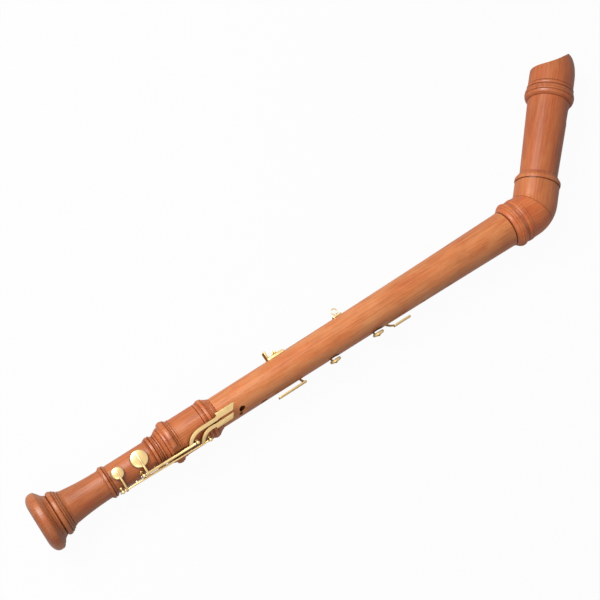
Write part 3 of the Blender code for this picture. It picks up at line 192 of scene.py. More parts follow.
FLARE_RADIUS = 21.7 * MM
FLARE_RISE = 3.3 * MM
FOOT_TUBE_RADIUS = 18.4 * MM
FOOT_BEAD_HEIGHT = 2.6 * MM
SLOPE_RADIUS = 19.0 * MM
SOCKET_RADIUS = 24.3 * MM
SOCKET_COLLAR_RADIUS = 24.9 * MM
BIG_BEAD_HEIGHT = 4.0 * MM
MOUTH_RADIUS = 23.7 * MM
MOUTH_BEAD_HEIGHT = 2.2 * MM
FOOT_RIM_RADIUS = 21.0 * MM
FOOT_RIM_INSIDE = 20.2 * MM
BELL_BORE = (13.5 * MM, 38.0 * MM)
FOOT_BORE = (9.3 * MM, 11.0 * MM)
LOW_TENON = (16.2 * MM, 32.0 * MM)
WOOD_SIDES = 96
FINE_SIDES = 48
SMALL_SIDES = 24


def quarter(start, end, square_first, steps=14):
    """Quarter of an ellipse that leaves start square to the axis, or along it."""
    run = []
    for i in range(steps + 1):
        u = pi / 2 * i / steps
        across, along = (sin(u), 1 - cos(u)) if square_first else (1 - cos(u), sin(u))
        run.append((start[0] + (end[0] - start[0]) * along, start[1] + (end[1] - start[1]) * across))
    return run


def ogee(start, end, steps=16):
    """S-curve from one radius to another, level at both ends."""
    run = []
    for i in range(steps + 1):
        u = i / steps
        ease = (1 - cos(pi * u)) / 2
        run.append((start[0] + (end[0] - start[0]) * u, start[1] + (end[1] - start[1]) * ease))
    return run


def bead(start, end, height, steps=18):
    """Half-round bead of a given height on the line from start to end."""
    run = []
    for i in range(steps + 1):
        u = pi * i / steps
        along = (1 - cos(u)) / 2
        base = start[1] + (end[1] - start[1]) * along
        run.append((start[0] + (end[0] - start[0]) * along, base + height * sin(u)))
    return run


def merged(*runs):
    """One outline from several runs of points, with no point twice in a row."""
    points = []
    for run in runs:
        for x, r in run:
            if not points or (Vector((x, r)) - Vector(points[-1])).length > 1e-6:
                points.append((x, r))
    return points


def scored(outline, lines):
    """Outline with V-shaped lines of (station, width, depth) cut into it by the turner's skew."""
    for station, width, depth in lines:
        low, high = station - width / 2, station + width / 2
        radii = []
        for x in (low, station, high):
            pairs = zip(outline, outline[1:])
            a, b = next((p, q) for p, q in pairs if p[0] <= x <= q[0] and p[0] < q[0])
            radii.append(a[1] + (b[1] - a[1]) * (x - a[0]) / (b[0] - a[0]))
        notch = [(low, radii[0]), (station, radii[1] - depth), (high, radii[2])]
        before = [point for point in outline if point[0] < low]
        after = [point for point in outline if point[0] > high]
        outline = before + notch + after
    return outline


def turned(outline, sides=WOOD_SIDES, frame_at=None, ring=False):
    """Turn an outline of (distance, radius) points round X; a ring's outline is closed."""
    mesh = bmesh.new()
    verts = [mesh.verts.new((x, 0, r)) for x, r in outline]
    pairs = list(zip(verts, verts[1:]))
    if ring:
        pairs.append((verts[-1], verts[0]))
    edges = [mesh.edges.new(pair) for pair in pairs]
    bmesh.ops.spin(mesh, geom=verts + edges, cent=(0, 0, 0), axis=(1, 0, 0),
                   angle=2 * pi, steps=sides, use_merge=True)
    bmesh.ops.remove_doubles(mesh, verts=mesh.verts, dist=1e-7)
    bmesh.ops.recalc_face_normals(mesh, faces=mesh.faces)
    if frame_at is not None:
        bmesh.ops.transform(mesh, matrix=frame_at, verts=mesh.verts)
    return mesh


def frame_of(origin, x_axis, z_axis):
    """Matrix of a frame from its origin, its X axis and its Z axis."""
    matrix = Matrix((x_axis, z_axis.cross(x_axis), z_axis)).transposed().to_4x4()
    matrix.translation = origin
    return matrix


def round_body(station, angle, radius):
    """Point at a station, an angle from the front line and a radius."""
    return Vector((station, -radius * cos(angle), radius * sin(angle)))


def outward(angle):
    """Unit vector that points away from the body's axis at an angle."""
    return Vector((0, -cos(angle), sin(angle)))


def radial_frame(station, angle, aside=0.0):
    """Frame at a station whose own X axis points away from the body at an angle."""
    return frame_of(Vector((station, 0, aside)), outward(angle), Vector((1, 0, 0)))


def line_frame(start, end):
    """Frame at start whose own X axis points to end."""
    x_axis = (end - start).normalized()
    return frame_of(start, x_axis, x_axis.cross(Vector((0, 1, 0))).normalized())


def rod(start, end, radius, sides=SMALL_SIDES, frame_at=None):
    """Plain cylinder between two distances along X, or in another frame."""
    return turned([(start, 0), (start, radius), (end, radius), (end, 0)], sides, frame_at)


def block_between(low, high, frame_at=None):
    """Box between two corners, which may stand in another frame."""
    mesh = bmesh.new()
    size = Vector(high) - Vector(low)
    centre = (Vector(high) + Vector(low)) / 2
    bmesh.ops.create_cube(mesh, size=1, matrix=Matrix.Translation(centre) @ Matrix.Diagonal((*size, 1)))
    if frame_at is not None:
        bmesh.ops.transform(mesh, matrix=frame_at, verts=mesh.verts)
    return mesh


def joined(*meshes):
    """One mesh that holds several separate ones."""
    whole = bmesh.new()
    for mesh in meshes:
        data = bpy.data.meshes.new("part_of_whole")
        mesh.to_mesh(data)
        mesh.free()
        whole.from_mesh(data)
        bpy.data.meshes.remove(data)
    return whole


def combined(operation, mesh, others):
    """Mesh with other shapes added to it or taken from it, one after another."""
    things = []
    for shape in (mesh, *others):
        data = bpy.data.meshes.new("shape")
        shape.to_mesh(data)
        shape.free()
        things.append(bpy.data.objects.new("shape", data))
        bpy.context.scene.collection.objects.link(things[-1])
    for other in things[1:]:
        modifier = things[0].modifiers.new("shape", "BOOLEAN")
        modifier.operation = operation
        modifier.solver = "EXACT"
        modifier.use_self = True
        modifier.object = other
    graph = bpy.context.evaluated_depsgraph_get()
    result = bmesh.new()
    result.from_mesh(bpy.data.meshes.new_from_object(things[0].evaluated_get(graph)))
    for thing in things:
        bpy.data.objects.remove(thing)
    return result


def carved(mesh, *cutters):
    """Mesh with the shapes of the cutters taken away."""
    return combined("DIFFERENCE", mesh, cutters)


def welded(mesh, *others):
    """One solid made of a mesh and others that overlap it."""
    return combined("UNION", mesh, others)


record = frame["record"]
body_of = {node: body for body, nodes in record["behaviour"]["bodies"].items() for node in nodes}
slot_of = {row["node"]: row["material_slot"] for row in record["subparts"]}
SHARP_EDGE = radians(32)


def add_piece(node, mesh, material, frame_at=BODY):
    """Finished piece that stands for a CAD node: in its place, on its body, with its slot."""
    bmesh.ops.transform(mesh, matrix=frame_at, verts=mesh.verts)
    data = bpy.data.meshes.new(f"{node}_{slot_of[node]}")
    mesh.to_mesh(data)
    mesh.free()
    data.shade_smooth()
    data.set_sharp_from_angle(angle=SHARP_EDGE)
    data.materials.append(material)
    piece = bpy.data.objects.new(data.name, data)
    bpy.context.scene.collection.objects.link(piece)
    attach(piece, body_of[node])
    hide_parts(node)


class Finish(NodeTree):
    """Material of a piece, made of patterns that lie still on the piece."""

    def __init__(self, name):
        self.material = bpy.data.materials.new(name)
        super().__init__(self.material)
        coordinates = self.add("ShaderNodeTexCoord", {}).outputs
        self.place = coordinates["Object"]
        self.normal = coordinates["Normal"]

    def along_grain(self, centre, turn):
        """Places measured from a point of the piece and along its own grain."""
        inputs = {"Vector": self.place, "Location": centre, "Rotation": (0, 0, turn)}
        return self.add("ShaderNodeMapping", inputs, vector_type="TEXTURE")

    def stretched(self, places, scale, offset=(0, 0, 0)):
        """Places scaled along each axis, so that a pattern is drawn out where the scale is small."""
        return self.add("ShaderNodeMapping", {"Vector": places, "Location": offset, "Scale": scale})

    def clouds(self, places, detail, roughness, scale=1.0):
        """Cloudy pattern."""
        return self.add("ShaderNodeTexNoise", {"Vector": places, "Scale": scale, "Detail": detail,
                                               "Roughness": roughness})

    def levels(self, value, low, high, to_low=0.0, to_high=1.0):
        """Value carried from one range to another and held at its ends."""
        return self.add("ShaderNodeMapRange", {"Value": value, "From Min": low, "From Max": high,
                                               "To Min": to_low, "To Max": to_high})

    def hollows(self, reach, low, high, dark=0.0):
        """Value that is 1 on open faces and falls to dark in grooves and corners of a given reach; it masks
        painted shade.
        """
        light = self.add("ShaderNodeAmbientOcclusion", {"Distance": reach}, samples=8)
        return self.levels(light.outputs["AO"], low, high, dark)

    def ramp(self, value, *stops):
        """Colour that runs through (position, colour) stops."""
        node = self.add("ShaderNodeValToRGB", {0: value})
        first, last = node.color_ramp.elements
        first.position, first.color = stops[0]
        last.position, last.color = stops[-1]
        for position, colour in stops[1:-1]:
            node.color_ramp.elements.new(position).color = colour
        return node

    def blended(self, share, first, second):
        """Colour between two others."""
        mix = self.add("ShaderNodeMix", {0: share, 6: first, 7: second}, data_type="RGBA")
        return mix.outputs[2]

    def bump(self, height, strength, distance):
        """Fine relief."""
        return self.add("ShaderNodeBump", {"Height": height, "Strength": strength, "Distance": distance})

    def surfaced(self, inputs):
        """The material, with the inputs of its surface."""
        shader = self.add("ShaderNodeBsdfPrincipled", inputs)
        self.add("ShaderNodeOutputMaterial", {0: shader})
        return self.material


WOOD_DARK = (0.330, 0.070, 0.014, 1)
WOOD_MIDDLE = (0.560, 0.165, 0.044, 1)
WOOD_LIGHT = (0.680, 0.245, 0.084, 1)
WOOD_BLUSH = (1.0, 0.84, 0.74)
GROWTH_RING_SPACING = 2.6 * MM
TURNING_MARK_SPACING = 0.45 * MM
PITH_OFF_AXIS = 48.0 * MM
EVEN_SHADE = (-1.0, 1.0, 1.0, 1.0)


def wave_scale(spacing):
    """Scale at which the wave texture, which has its own factor of 20, repeats at a spacing."""
    return 2 * pi / 20 / spacing


def pearwood(name, centre, turn, seed, tone, ends=EVEN_SHADE):
    """Oiled pear: growth rings of a long straight blank, fine fibres, flecks, and painted shade in its
    hollows.
    """
    pear = Finish(name)
    local = pear.along_grain(centre, turn)

    def figure(scale, detail, roughness, offset):
        """Cloudy pattern that is drawn out along the grain."""
        return pear.clouds(pear.stretched(local, scale, offset), detail, roughness)

    rings_at = pear.stretched(local, (0.05, 1, 1), (seed, PITH_OFF_AXIS, 0.3 * PITH_OFF_AXIS))
    rings = pear.add(
        "ShaderNodeTexWave",
        {"Vector": rings_at, "Scale": wave_scale(GROWTH_RING_SPACING), "Distortion": 7.0, "Detail": 2.0,
         "Detail Scale": 0.22, "Detail Roughness": 0.5},
        wave_type="RINGS", rings_direction="X", wave_profile="SAW",
    )
    fibres = figure((24, 760, 760), 5.0, 0.62, (seed, 3 * seed, seed))
    streaks = figure((12, 280, 280), 3.0, 0.55, (seed + 5, seed, 2 * seed))
    mottle = figure((20, 44, 44), 4.0, 0.55, (seed + 9, seed, seed))
    blush = figure((26, 70, 70), 3.0, 0.6, (seed, seed + 4, seed + 7))
    flecks = figure((110, 1500, 1500), 2.0, 0.5, (seed, seed + 2, seed))

    grain = pear.maths("MULTIPLY", rings.outputs["Fac"], 0.09)
    for pattern, weight in ((fibres, 0.52), (streaks, 0.33), (mottle, 0.62)):
        grain = pear.maths("ADD", grain, pear.maths("MULTIPLY", pattern, weight))
    grain = pear.maths("SUBTRACT", grain, pear.levels(flecks, 0.60, 0.74, 0.0, 0.16))
    colour = pear.ramp(grain, (0.51, WOOD_DARK), (0.76, WOOD_MIDDLE), (1.0, WOOD_LIGHT))
    blushed = pear.add("ShaderNodeVectorMath", {0: colour, 1: WOOD_BLUSH}, operation="MULTIPLY")
    tinted = pear.blended(pear.levels(blush, 0.42, 0.66), colour, blushed)
    toned = pear.add("ShaderNodeVectorMath", {0: tinted, 1: tone}, operation="MULTIPLY")

    # Painted shade: the colour darkens in grooves, holes and corners and under the brass, where less light
    # falls.
    shade = pear.hollows(2.2 * MM, 0.40, 0.85, 0.60)
    shade = pear.maths("MULTIPLY", pear.hollows(9.0 * MM, 0.25, 0.85, 0.36), shade)
    along = pear.add("ShaderNodeVectorMath", {0: pear.normal, 1: (cos(turn), sin(turn), 0)},
                     operation="DOT_PRODUCT")
    end_grain = pear.maths("POWER", pear.maths("ABSOLUTE", along.outputs["Value"]), 3.0)
    shade = pear.maths("MULTIPLY", shade, pear.levels(end_grain, 0.0, 1.0, 1.0, 0.82))
    station = pear.add("ShaderNodeSeparateXYZ", {0: local})
    shade = pear.maths("MULTIPLY", shade, pear.levels(station, *ends))
    darkened = pear.add("ShaderNodeVectorMath", {0: toned, "Scale": shade}, operation="SCALE")

    turning_marks = pear.add(
        "ShaderNodeTexWave",
        {"Vector": pear.stretched(local, (1, 0.2, 0.2)), "Scale": wave_scale(TURNING_MARK_SPACING),
         "Distortion": 1.5, "Detail": 1.0},
        bands_direction="X",
    )
    relief = pear.maths("ADD", fibres, pear.maths("MULTIPLY", turning_marks.outputs["Fac"], 0.12))
    return pear.surfaced({
        "Base Color": darkened,
        "Roughness": pear.levels(fibres, 0.3, 0.7, 0.36, 0.48),
        "IOR": 1.46,
        "Specular IOR Level": 0.68,
        "Normal": pear.bump(relief, 0.35, 0.12 * MM),
    })


@dataclass
class Key:
    """One brass key: where its hinge lies, which hole it closes, and how far it stands open."""

    name: str
    posts: tuple
    post_radii: tuple
    angle: float
    tube_radius: float
    hole_station: float
    hole_angle: float
    hole_radius: float
    cup_radius: float
    lug_station: float
    tail: float
    open_angle: float


MIDDLE = 245.3 * MM
MIDDLE_LENGTH = 452.2 * MM
MIDDLE_TOP = MIDDLE + MIDDLE_LENGTH
LOW_F = Key(
    name="low_f",
    posts=(FOOT_TUBE + 34.2 * MM, SOCKET + 19.5 * MM),
    post_radii=(25.6 * MM, 27.1 * MM),
    angle=radians(43.6),
    tube_radius=1.9 * MM,
    hole_station=FOOT_TUBE + 39.6 * MM,
    hole_angle=radians(95),
    hole_radius=6.0 * MM,
    cup_radius=10.7 * MM,
    lug_station=FOOT_TUBE + 50.0 * MM,
    tail=4.3 * MM,
    open_angle=radians(8.0),
)
LOW_F_SHARP = Key(
    name="low_f_sharp",
    posts=(FOOT_TUBE + 4.2 * MM, SOCKET + 35.0 * MM),
    post_radii=(23.3 * MM, 27.4 * MM),
    angle=radians(27.5),
    tube_radius=1.45 * MM,
    hole_station=FOOT_TUBE + 9.6 * MM,
    hole_angle=radians(95),
    hole_radius=3.8 * MM,
    cup_radius=7.5 * MM,
    lug_station=FOOT_TUBE + 24.0 * MM,
    tail=5.6 * MM,
    open_angle=radians(7.5),
)
HOLE_4 = Key(
    name="hole_4",
    posts=(MIDDLE + 107.0 * MM, MIDDLE + 173.0 * MM),
    post_radii=(24.6 * MM, 25.0 * MM),
    angle=radians(-50),
    tube_radius=1.8 * MM,
    hole_station=MIDDLE + 162.8 * MM,
    hole_angle=radians(2),
    hole_radius=5.2 * MM,
    cup_radius=7.6 * MM,
    lug_station=MIDDLE + 127.0 * MM,
    tail=5.0 * MM,
    open_angle=radians(8.0),
)
HOLE_3 = Key(
    name="hole_3",
    posts=(MIDDLE + 219.0 * MM, MIDDLE + 262.0 * MM),
    post_radii=(25.4 * MM, 25.8 * MM),
    angle=radians(-50),
    tube_radius=1.8 * MM,
    hole_station=MIDDLE + 228.5 * MM,
    hole_angle=radians(2),
    hole_radius=5.4 * MM,
    cup_radius=7.9 * MM,
    lug_station=MIDDLE + 238.0 * MM,
    tail=5.0 * MM,
    open_angle=radians(8.0),
)
FOOT_KEYS = (LOW_F, LOW_F_SHARP)
MIDDLE_KEYS = (HOLE_4, HOLE_3)
POST_SHANK_RADIUS = 1.5 * MM
POST_SHANK_LENGTH = 5.0 * MM
SEAT_RING = 1.7 * MM
SEAT_MARGIN = 0.6 * MM
MIDDLE_LOW_RADIUS = 20.0 * MM
MIDDLE_WIDENING = 4.5 * MM
MIDDLE_WIDENING_POWER = 1.7


def middle_radius(station):
    """Outer radius of the middle joint, which widens towards the elbow."""
    share_of_length = (station - MIDDLE) / MIDDLE_LENGTH
    return MIDDLE_LOW_RADIUS + MIDDLE_WIDENING * share_of_length ** MIDDLE_WIDENING_POWER


def body_radius(station):
    """Radius of the wood that carries a post at a station of the foot or middle joint."""
    if station >= MIDDLE:
        return middle_radius(station)
    return SOCKET_RADIUS if station >= SOCKET else FOOT_TUBE_RADIUS


def hinge_point(key, station):
    """Point of a key's hinge line, which leans out with the wood that carries it."""
    along = (station - key.posts[0]) / (key.posts[1] - key.posts[0])
    radius = key.post_radii[0] + (key.post_radii[1] - key.post_radii[0]) * along
    return round_body(station, key.angle, radius)


def hinge_radius(key, station):
    """Distance of a key's hinge line from the body's axis."""
    return hinge_point(key, station).yz.length


def seat_height(key):
    """Height of the flat seat that is cut round a key's hole."""
    return sqrt(body_radius(key.hole_station) ** 2 - (key.hole_radius + SEAT_RING) ** 2)


def hole_drill(key):
    """Cutter of a keyed hole: the hole itself and the flat seat round it."""
    seat = seat_height(key)
    top = body_radius(key.hole_station) + GAP
    reach = key.cup_radius + SEAT_MARGIN
    outline = [(0, 0), (0, key.hole_radius), (seat, key.hole_radius), (seat, reach), (top, reach), (top, 0)]
    return turned(outline, FINE_SIDES, radial_frame(key.hole_station, key.hole_angle))


def shank_drill(station, angle, radius, depth, aside=0.0):
    """Cutter of a round hole for a post's or a screw's shank."""
    wood = body_radius(station)
    frame_at = radial_frame(station, angle, aside)
    return rod(wood - depth - GAP, wood + GAP, radius + GAP, SMALL_SIDES, frame_at)


def post_drills(keys):
    """Cutters of the holes for all the posts of some keys."""
    drills = []
    for key in keys:
        for station in key.posts:
            drills.append(shank_drill(station, key.angle, POST_SHANK_RADIUS, POST_SHANK_LENGTH))
    return drills


socket = LOW_TENON[0] + GAP
socket_floor = FOOT_TOP - LOW_TENON[1] - 2 * GAP
flare = []
for i in range(25):
    u = i / 24
    flare.append((FLARE + (THIN_BEAD - FLARE) * u, FOOT_TUBE_RADIUS + FLARE_RISE * (1 - u) ** 2))
foot_outside = merged(
    quarter((0, BELL_FACE_RADIUS), (BELL_ROUNDING, BELL_RADIUS), square_first=True, steps=24),
    ogee((BELL_EDGE, BELL_RADIUS), (BELL_NECK, BELL_NECK_RADIUS), 24),
    quarter((BELL_RING, BELL_NECK_RADIUS), (BELL_RING_CREST, BELL_RING_RADIUS), square_first=True),
    ogee((BELL_RING_CREST, BELL_RING_RADIUS), (FLARE, FLARE_RADIUS), 24),
    flare,
    bead((THIN_BEAD, FOOT_TUBE_RADIUS), (FOOT_TUBE, FOOT_TUBE_RADIUS), FOOT_BEAD_HEIGHT),
    bead((LOW_BEAD, FOOT_TUBE_RADIUS), (SOCKET_SLOPE, SLOPE_RADIUS), FOOT_BEAD_HEIGHT),
    ogee((SOCKET_SLOPE, SLOPE_RADIUS), (BIG_BEAD, SOCKET_RADIUS), 24),
    bead((BIG_BEAD, SOCKET_RADIUS), (SOCKET, SOCKET_RADIUS), BIG_BEAD_HEIGHT, 24),
    [(SOCKET, SOCKET_COLLAR_RADIUS), (SOCKET_COLLAR_END - 0.3 * MM, SOCKET_COLLAR_RADIUS)],
    [(SOCKET_COLLAR_END, SOCKET_RADIUS), (MOUTH_BEAD - 1.0 * MM, SOCKET_RADIUS)],
    [(MOUTH_BEAD - 0.9 * MM, MOUTH_RADIUS)],
    bead((MOUTH_BEAD, MOUTH_RADIUS), (MOUTH_END, MOUTH_RADIUS), MOUTH_BEAD_HEIGHT),
    ogee((MOUTH_END, MOUTH_RADIUS), (FOOT_TOP - 0.5 * MM, FOOT_RIM_RADIUS)),
)
FOOT_LINES_MM = (
    (16.2, 1.2, 0.45), (19.5, 1.3, 0.55), (24.3, 1.8, 1.10), (31.1, 1.7, 1.00), (34.0, 1.3, 0.80),
    (36.8, 1.6, 1.00), (90.4, 1.4, 0.80), (94.8, 1.7, 1.10), (154.6, 1.8, 1.10), (159.3, 1.7, 1.20),
    (162.3, 1.2, 0.70), (164.7, 1.2, 0.80), (167.6, 1.3, 0.80), (172.4, 1.3, 0.80), (176.1, 1.6, 1.00),
    (183.8, 1.6, 1.00), (189.2, 1.2, 0.55), (225.1, 1.2, 0.70), (231.0, 1.4, 0.80), (236.0, 1.6, 0.90),
    (240.6, 1.2, 0.55),
)
foot_lines = [[size * MM for size in line] for line in FOOT_LINES_MM]
bell_rounding = quarter((0.8 * MM, BELL_BORE[0]), (BELL_BORE[1], FOOT_BORE[0]), square_first=False)
foot_inside = [
    (FOOT_TOP, FOOT_RIM_INSIDE), (FOOT_TOP, socket + 0.4 * MM), (FOOT_TOP - 0.4 * MM, socket),
    (socket_floor, socket), (socket_floor, FOOT_BORE[1]), (BELL_BORE[1], FOOT_BORE[0]),
    *reversed(bell_rounding), (0, BELL_BORE[0] + 0.8 * MM),
]
foot_mesh = turned(merged(scored(foot_outside, foot_lines), foot_inside), ring=True)

bed_angle = (LOW_F.angle + LOW_F_SHARP.angle) / 2
bed_height = min(hinge_radius(key, BIG_BEAD) * cos(key.angle - bed_angle) - key.tube_radius - GAP
                 for key in FOOT_KEYS)
bed_reach = SOCKET_RADIUS + 8.0 * MM
key_bed = block_between((bed_height, -bed_reach, BIG_BEAD - GAP), (bed_reach, bed_reach, SOCKET_COLLAR_END),
                        radial_frame(0, bed_angle))
foot_drills = [hole_drill(key) for key in FOOT_KEYS] + post_drills(FOOT_KEYS)
foot_mesh = carved(foot_mesh, joined(*foot_drills), key_bed)
foot_wood = pearwood("foot_pear", body_origin, 0.0, 1.3, (0.79, 0.71, 0.59),
                     ends=(FLARE, MOUTH_BEAD, 0.82, 1.12))
add_piece("foot_joint", foot_mesh, foot_wood)


# Middle joint
# A long conical tube of the same pear, with a corked tenon at each end. The finger holes are
# drilled and their edges eased; the two wide ones for keys get a flat seat.
HOLE_6_LARGE = (29.1 * MM, radians(44.0), 4.2 * MM)
HOLE_6_SMALL = (25.6 * MM, radians(26.5), 2.3 * MM)
HOLE_5 = (58.7 * MM, radians(6.0), 5.2 * MM)
HOLE_2 = (300.4 * MM, radians(2.0), 4.5 * MM)
HOLE_1 = (343.9 * MM, radians(2.0), 4.3 * MM)
THUMB_HOLE = (352.0 * MM, radians(180.0), 4.4 * MM)
FINGER_HOLES = (HOLE_6_LARGE, HOLE_6_SMALL, HOLE_5, HOLE_2, HOLE_1, THUMB_HOLE)
TOP_TENON = (19.6 * MM, 29.0 * MM)
MIDDLE_BORE = (11.2 * MM, 15.3 * MM)
CORK_THICKNESS = 1.2 * MM
CORK_MARGIN = 5.0 * MM
CLAMP_STATION = MIDDLE + 102.4 * MM
THUMB_SCREWS = ((MIDDLE + 101.4 * MM, -6.1 * MM), (MIDDLE + 101.4 * MM, 6.1 * MM))
STRAP_SCREWS = ((MIDDLE + 192.4 * MM, 0.0), (MIDDLE + 200.2 * MM, 0.0))
SCREW_RADIUS = 1.0 * MM
SCREW_LENGTH = 6.0 * MM
CLAMP_SCREW_RADIUS = 1.5 * MM
CLAMP_SCREW_DEPTH = 3.0 * MM
HOLE_UNDERCUT = 1.12
HOLE_EASED_DEPTH = 0.8 * MM
HOLE_EASED_WIDTH = 0.25 * MM
MIDDLE_END_RADIUS = 19.7 * MM
MIDDLE_SHOULDER_RADIUS = 23.1 * MM


def tenon_outline(shoulder, end, radius, bore):
    """Outline of a tenon from its shoulder to its end, with the groove for its cork."""
    step = 1 if end > shoulder else -1
    groove_start = shoulder + step * CORK_MARGIN
    groove_end = end - step * CORK_MARGIN
    bottom = radius - CORK_THICKNESS - GAP
    return [
        (shoulder, radius), (groove_start, radius), (groove_start, bottom), (groove_end, bottom),
        (groove_end, radius), (end - step * 0.5 * MM, radius), (end, radius - 0.5 * MM), (end, bore),
    ]


def finger_hole(distance, angle, radius):
    """Cutter of an open finger hole with an eased edge, undercut a little towards the bore."""
    wood = body_radius(MIDDLE + distance)
    outside = wood + 0.6 * MM
    outline = [
        (0, 0), (0, radius * HOLE_UNDERCUT), (wood - 4.0 * MM, radius), (wood - HOLE_EASED_DEPTH, radius),
        (wood - 0.1 * MM, radius + HOLE_EASED_WIDTH), (outside, radius + 0.9 * MM), (outside, 0),
    ]
    return turned(outline, FINE_SIDES, radial_frame(MIDDLE + distance, angle))


tube = [(MIDDLE + 0.3 * MM, middle_radius(MIDDLE))]
for i in range(1, 48):
    station = MIDDLE + MIDDLE_LENGTH * i / 48
    tube.append((station, middle_radius(station)))
tube.append((MIDDLE_TOP - 1.0 * MM, middle_radius(MIDDLE_TOP)))
low_end = MIDDLE - LOW_TENON[1]
top_end = MIDDLE_TOP + TOP_TENON[1]
middle_outline = merged(
    reversed(tenon_outline(MIDDLE, low_end, LOW_TENON[0], MIDDLE_BORE[0])),
    [(MIDDLE, MIDDLE_END_RADIUS)], tube, [(MIDDLE_TOP, MIDDLE_SHOULDER_RADIUS)],
    tenon_outline(MIDDLE_TOP, top_end, TOP_TENON[0], MIDDLE_BORE[1]),
)
drills = [finger_hole(*hole) for hole in FINGER_HOLES]
drills += [hole_drill(key) for key in MIDDLE_KEYS]
drills += post_drills(MIDDLE_KEYS)
drills += [shank_drill(station, pi, SCREW_RADIUS, SCREW_LENGTH, aside)
           for station, aside in THUMB_SCREWS + STRAP_SCREWS]
drills.append(shank_drill(CLAMP_STATION, pi, CLAMP_SCREW_RADIUS, CLAMP_SCREW_DEPTH))
middle_mesh = carved(turned(middle_outline, ring=True), joined(*drills))
# The middle's tone is paler and pinker than the other joints': partly the pear's own colour, partly painted
# sheen.
middle_wood = pearwood("middle_pear", body_origin, 0.0, 4.1, (1.03, 1.16, 1.28))
add_piece("middle_joint", middle_mesh, middle_wood)


# Elbow
# Two turned pieces of pear, each cut at half the angle of the bend and glued. The lower one has a
# beaded mouth and a collar, and the upper one ends in a sharp ring under the head's shoulder.
BEND = radians(45.5)
ELBOW = MIDDLE_TOP + GAP
CORNER = ELBOW + 47.2 * MM
ELBOW_RADIUS = 29.5 * MM
ELBOW_UPPER_LENGTH = 43.3 * MM
ELBOW_RIM_RADIUS = 24.0 * MM
ELBOW_LIP = ELBOW + 0.9 * MM
ELBOW_LIP_RADIUS = 25.5 * MM
ELBOW_MOUTH_CREST = ELBOW + 10.0 * MM
ELBOW_MOUTH_RADIUS = 31.1 * MM
ELBOW_COLLAR = ELBOW + 17.5 * MM
ELBOW_COLLAR_END = ELBOW + 26.0 * MM
ELBOW_COLLAR_RADIUS = 29.0 * MM
ELBOW_COLLAR_HEIGHT = 1.0 * MM
ELBOW_RING_RADIUS = 30.5 * MM
ELBOW_END_RADIUS = 28.8 * MM
SEAM_DEPTH = 0.5 * MM
SEAM_REACH = 1.0 * MM
GLUE_LINE = 0.2 * MM
HEAD_BORE_RADIUS = 15.5 * MM
HEAD_SHOULDER = ELBOW_UPPER_LENGTH + GAP
HEAD_TENON_LENGTH = 25.0 * MM
BEND_STEPS = 14
HEAD = BODY @ Matrix.Translation((CORNER, 0, 0)) @ Matrix.Rotation(BEND, 4, "Z")
INNER_ROUNDING = 0.5 * MM
MITRE_START = (ELBOW_RADIUS + INNER_ROUNDING) * tan(BEND / 2) + GLUE_LINE / 2 / cos(BEND / 2)


def bent_end(mesh, distance, turn):
    """Carry the flat end of an elbow half on round the inside of the bend to the mitre."""
    pivot = Vector((distance, ELBOW_RADIUS + INNER_ROUNDING, 0))
    for i in range(BEND_STEPS):
        normal = Matrix.Rotation(turn * i / BEND_STEPS, 3, "Z") @ Vector((1, 0, 0))
        flat = [f for f in mesh.faces if all(abs((v.co - pivot).dot(normal)) < 1e-6 for v in f.verts)]
        rim = list({edge for face in flat for edge in face.edges})
        new = bmesh.ops.extrude_face_region(mesh, geom=flat + rim)
        moved = [item for item in new["geom"] if isinstance(item, bmesh.types.BMVert)]
        bmesh.ops.rotate(mesh, cent=pivot, matrix=Matrix.Rotation(turn / BEND_STEPS, 3, "Z"), verts=moved)
    bmesh.ops.recalc_face_normals(mesh, faces=mesh.faces)
    return mesh


def seam(mitre):
    """Cutter of the shallow V along the glued joint, in the plane of the mitre."""
    bend_radius = ELBOW_RADIUS + INNER_ROUNDING
    off_corner = Matrix.Translation((0, bend_radius / cos(BEND / 2) - bend_radius, 0))
    lip = ELBOW_RADIUS + SEAM_REACH
    outline = [(-SEAM_REACH, lip), (0, ELBOW_RADIUS - SEAM_DEPTH), (SEAM_REACH, lip)]
    return turned(outline, WOOD_SIDES, mitre @ off_corner, ring=True)


bend_start = CORNER - MITRE_START
lower_outside = merged(
    [(ELBOW, ELBOW_RIM_RADIUS)],
    ogee((ELBOW_LIP, ELBOW_LIP_RADIUS), (ELBOW_MOUTH_CREST, ELBOW_MOUTH_RADIUS), 24),
    ogee((ELBOW_MOUTH_CREST, ELBOW_MOUTH_RADIUS), (ELBOW_COLLAR, ELBOW_COLLAR_RADIUS)),
    bead((ELBOW_COLLAR, ELBOW_COLLAR_RADIUS), (ELBOW_COLLAR_END, ELBOW_RADIUS), ELBOW_COLLAR_HEIGHT),
    [(bend_start, ELBOW_RADIUS)],
)
ELBOW_LINES_MM = (
    (5.6, 1.3, 0.60), (8.0, 1.2, 0.60), (14.6, 1.5, 0.70), (16.7, 1.2, 0.60), (22.4, 1.4, 0.60),
)
elbow_lines = [(ELBOW + at * MM, width * MM, depth * MM) for at, width, depth in ELBOW_LINES_MM]
lower_outline = merged([(ELBOW, 0)], scored(lower_outside, elbow_lines), [(bend_start, 0)])
elbow_socket = TOP_TENON[0] + GAP
lower_floor = top_end + GAP
lower_bore = [
    (ELBOW - GAP, 0), (ELBOW - GAP, elbow_socket), (lower_floor, elbow_socket),
    (lower_floor, HEAD_BORE_RADIUS), (CORNER + 2 * ELBOW_RADIUS, HEAD_BORE_RADIUS),
    (CORNER + 2 * ELBOW_RADIUS, 0),
]
lower_seam = seam(Matrix.Translation((CORNER, 0, 0)) @ Matrix.Rotation(BEND / 2, 4, "Z"))
lower_bent = bent_end(turned(lower_outline), bend_start, BEND / 2)
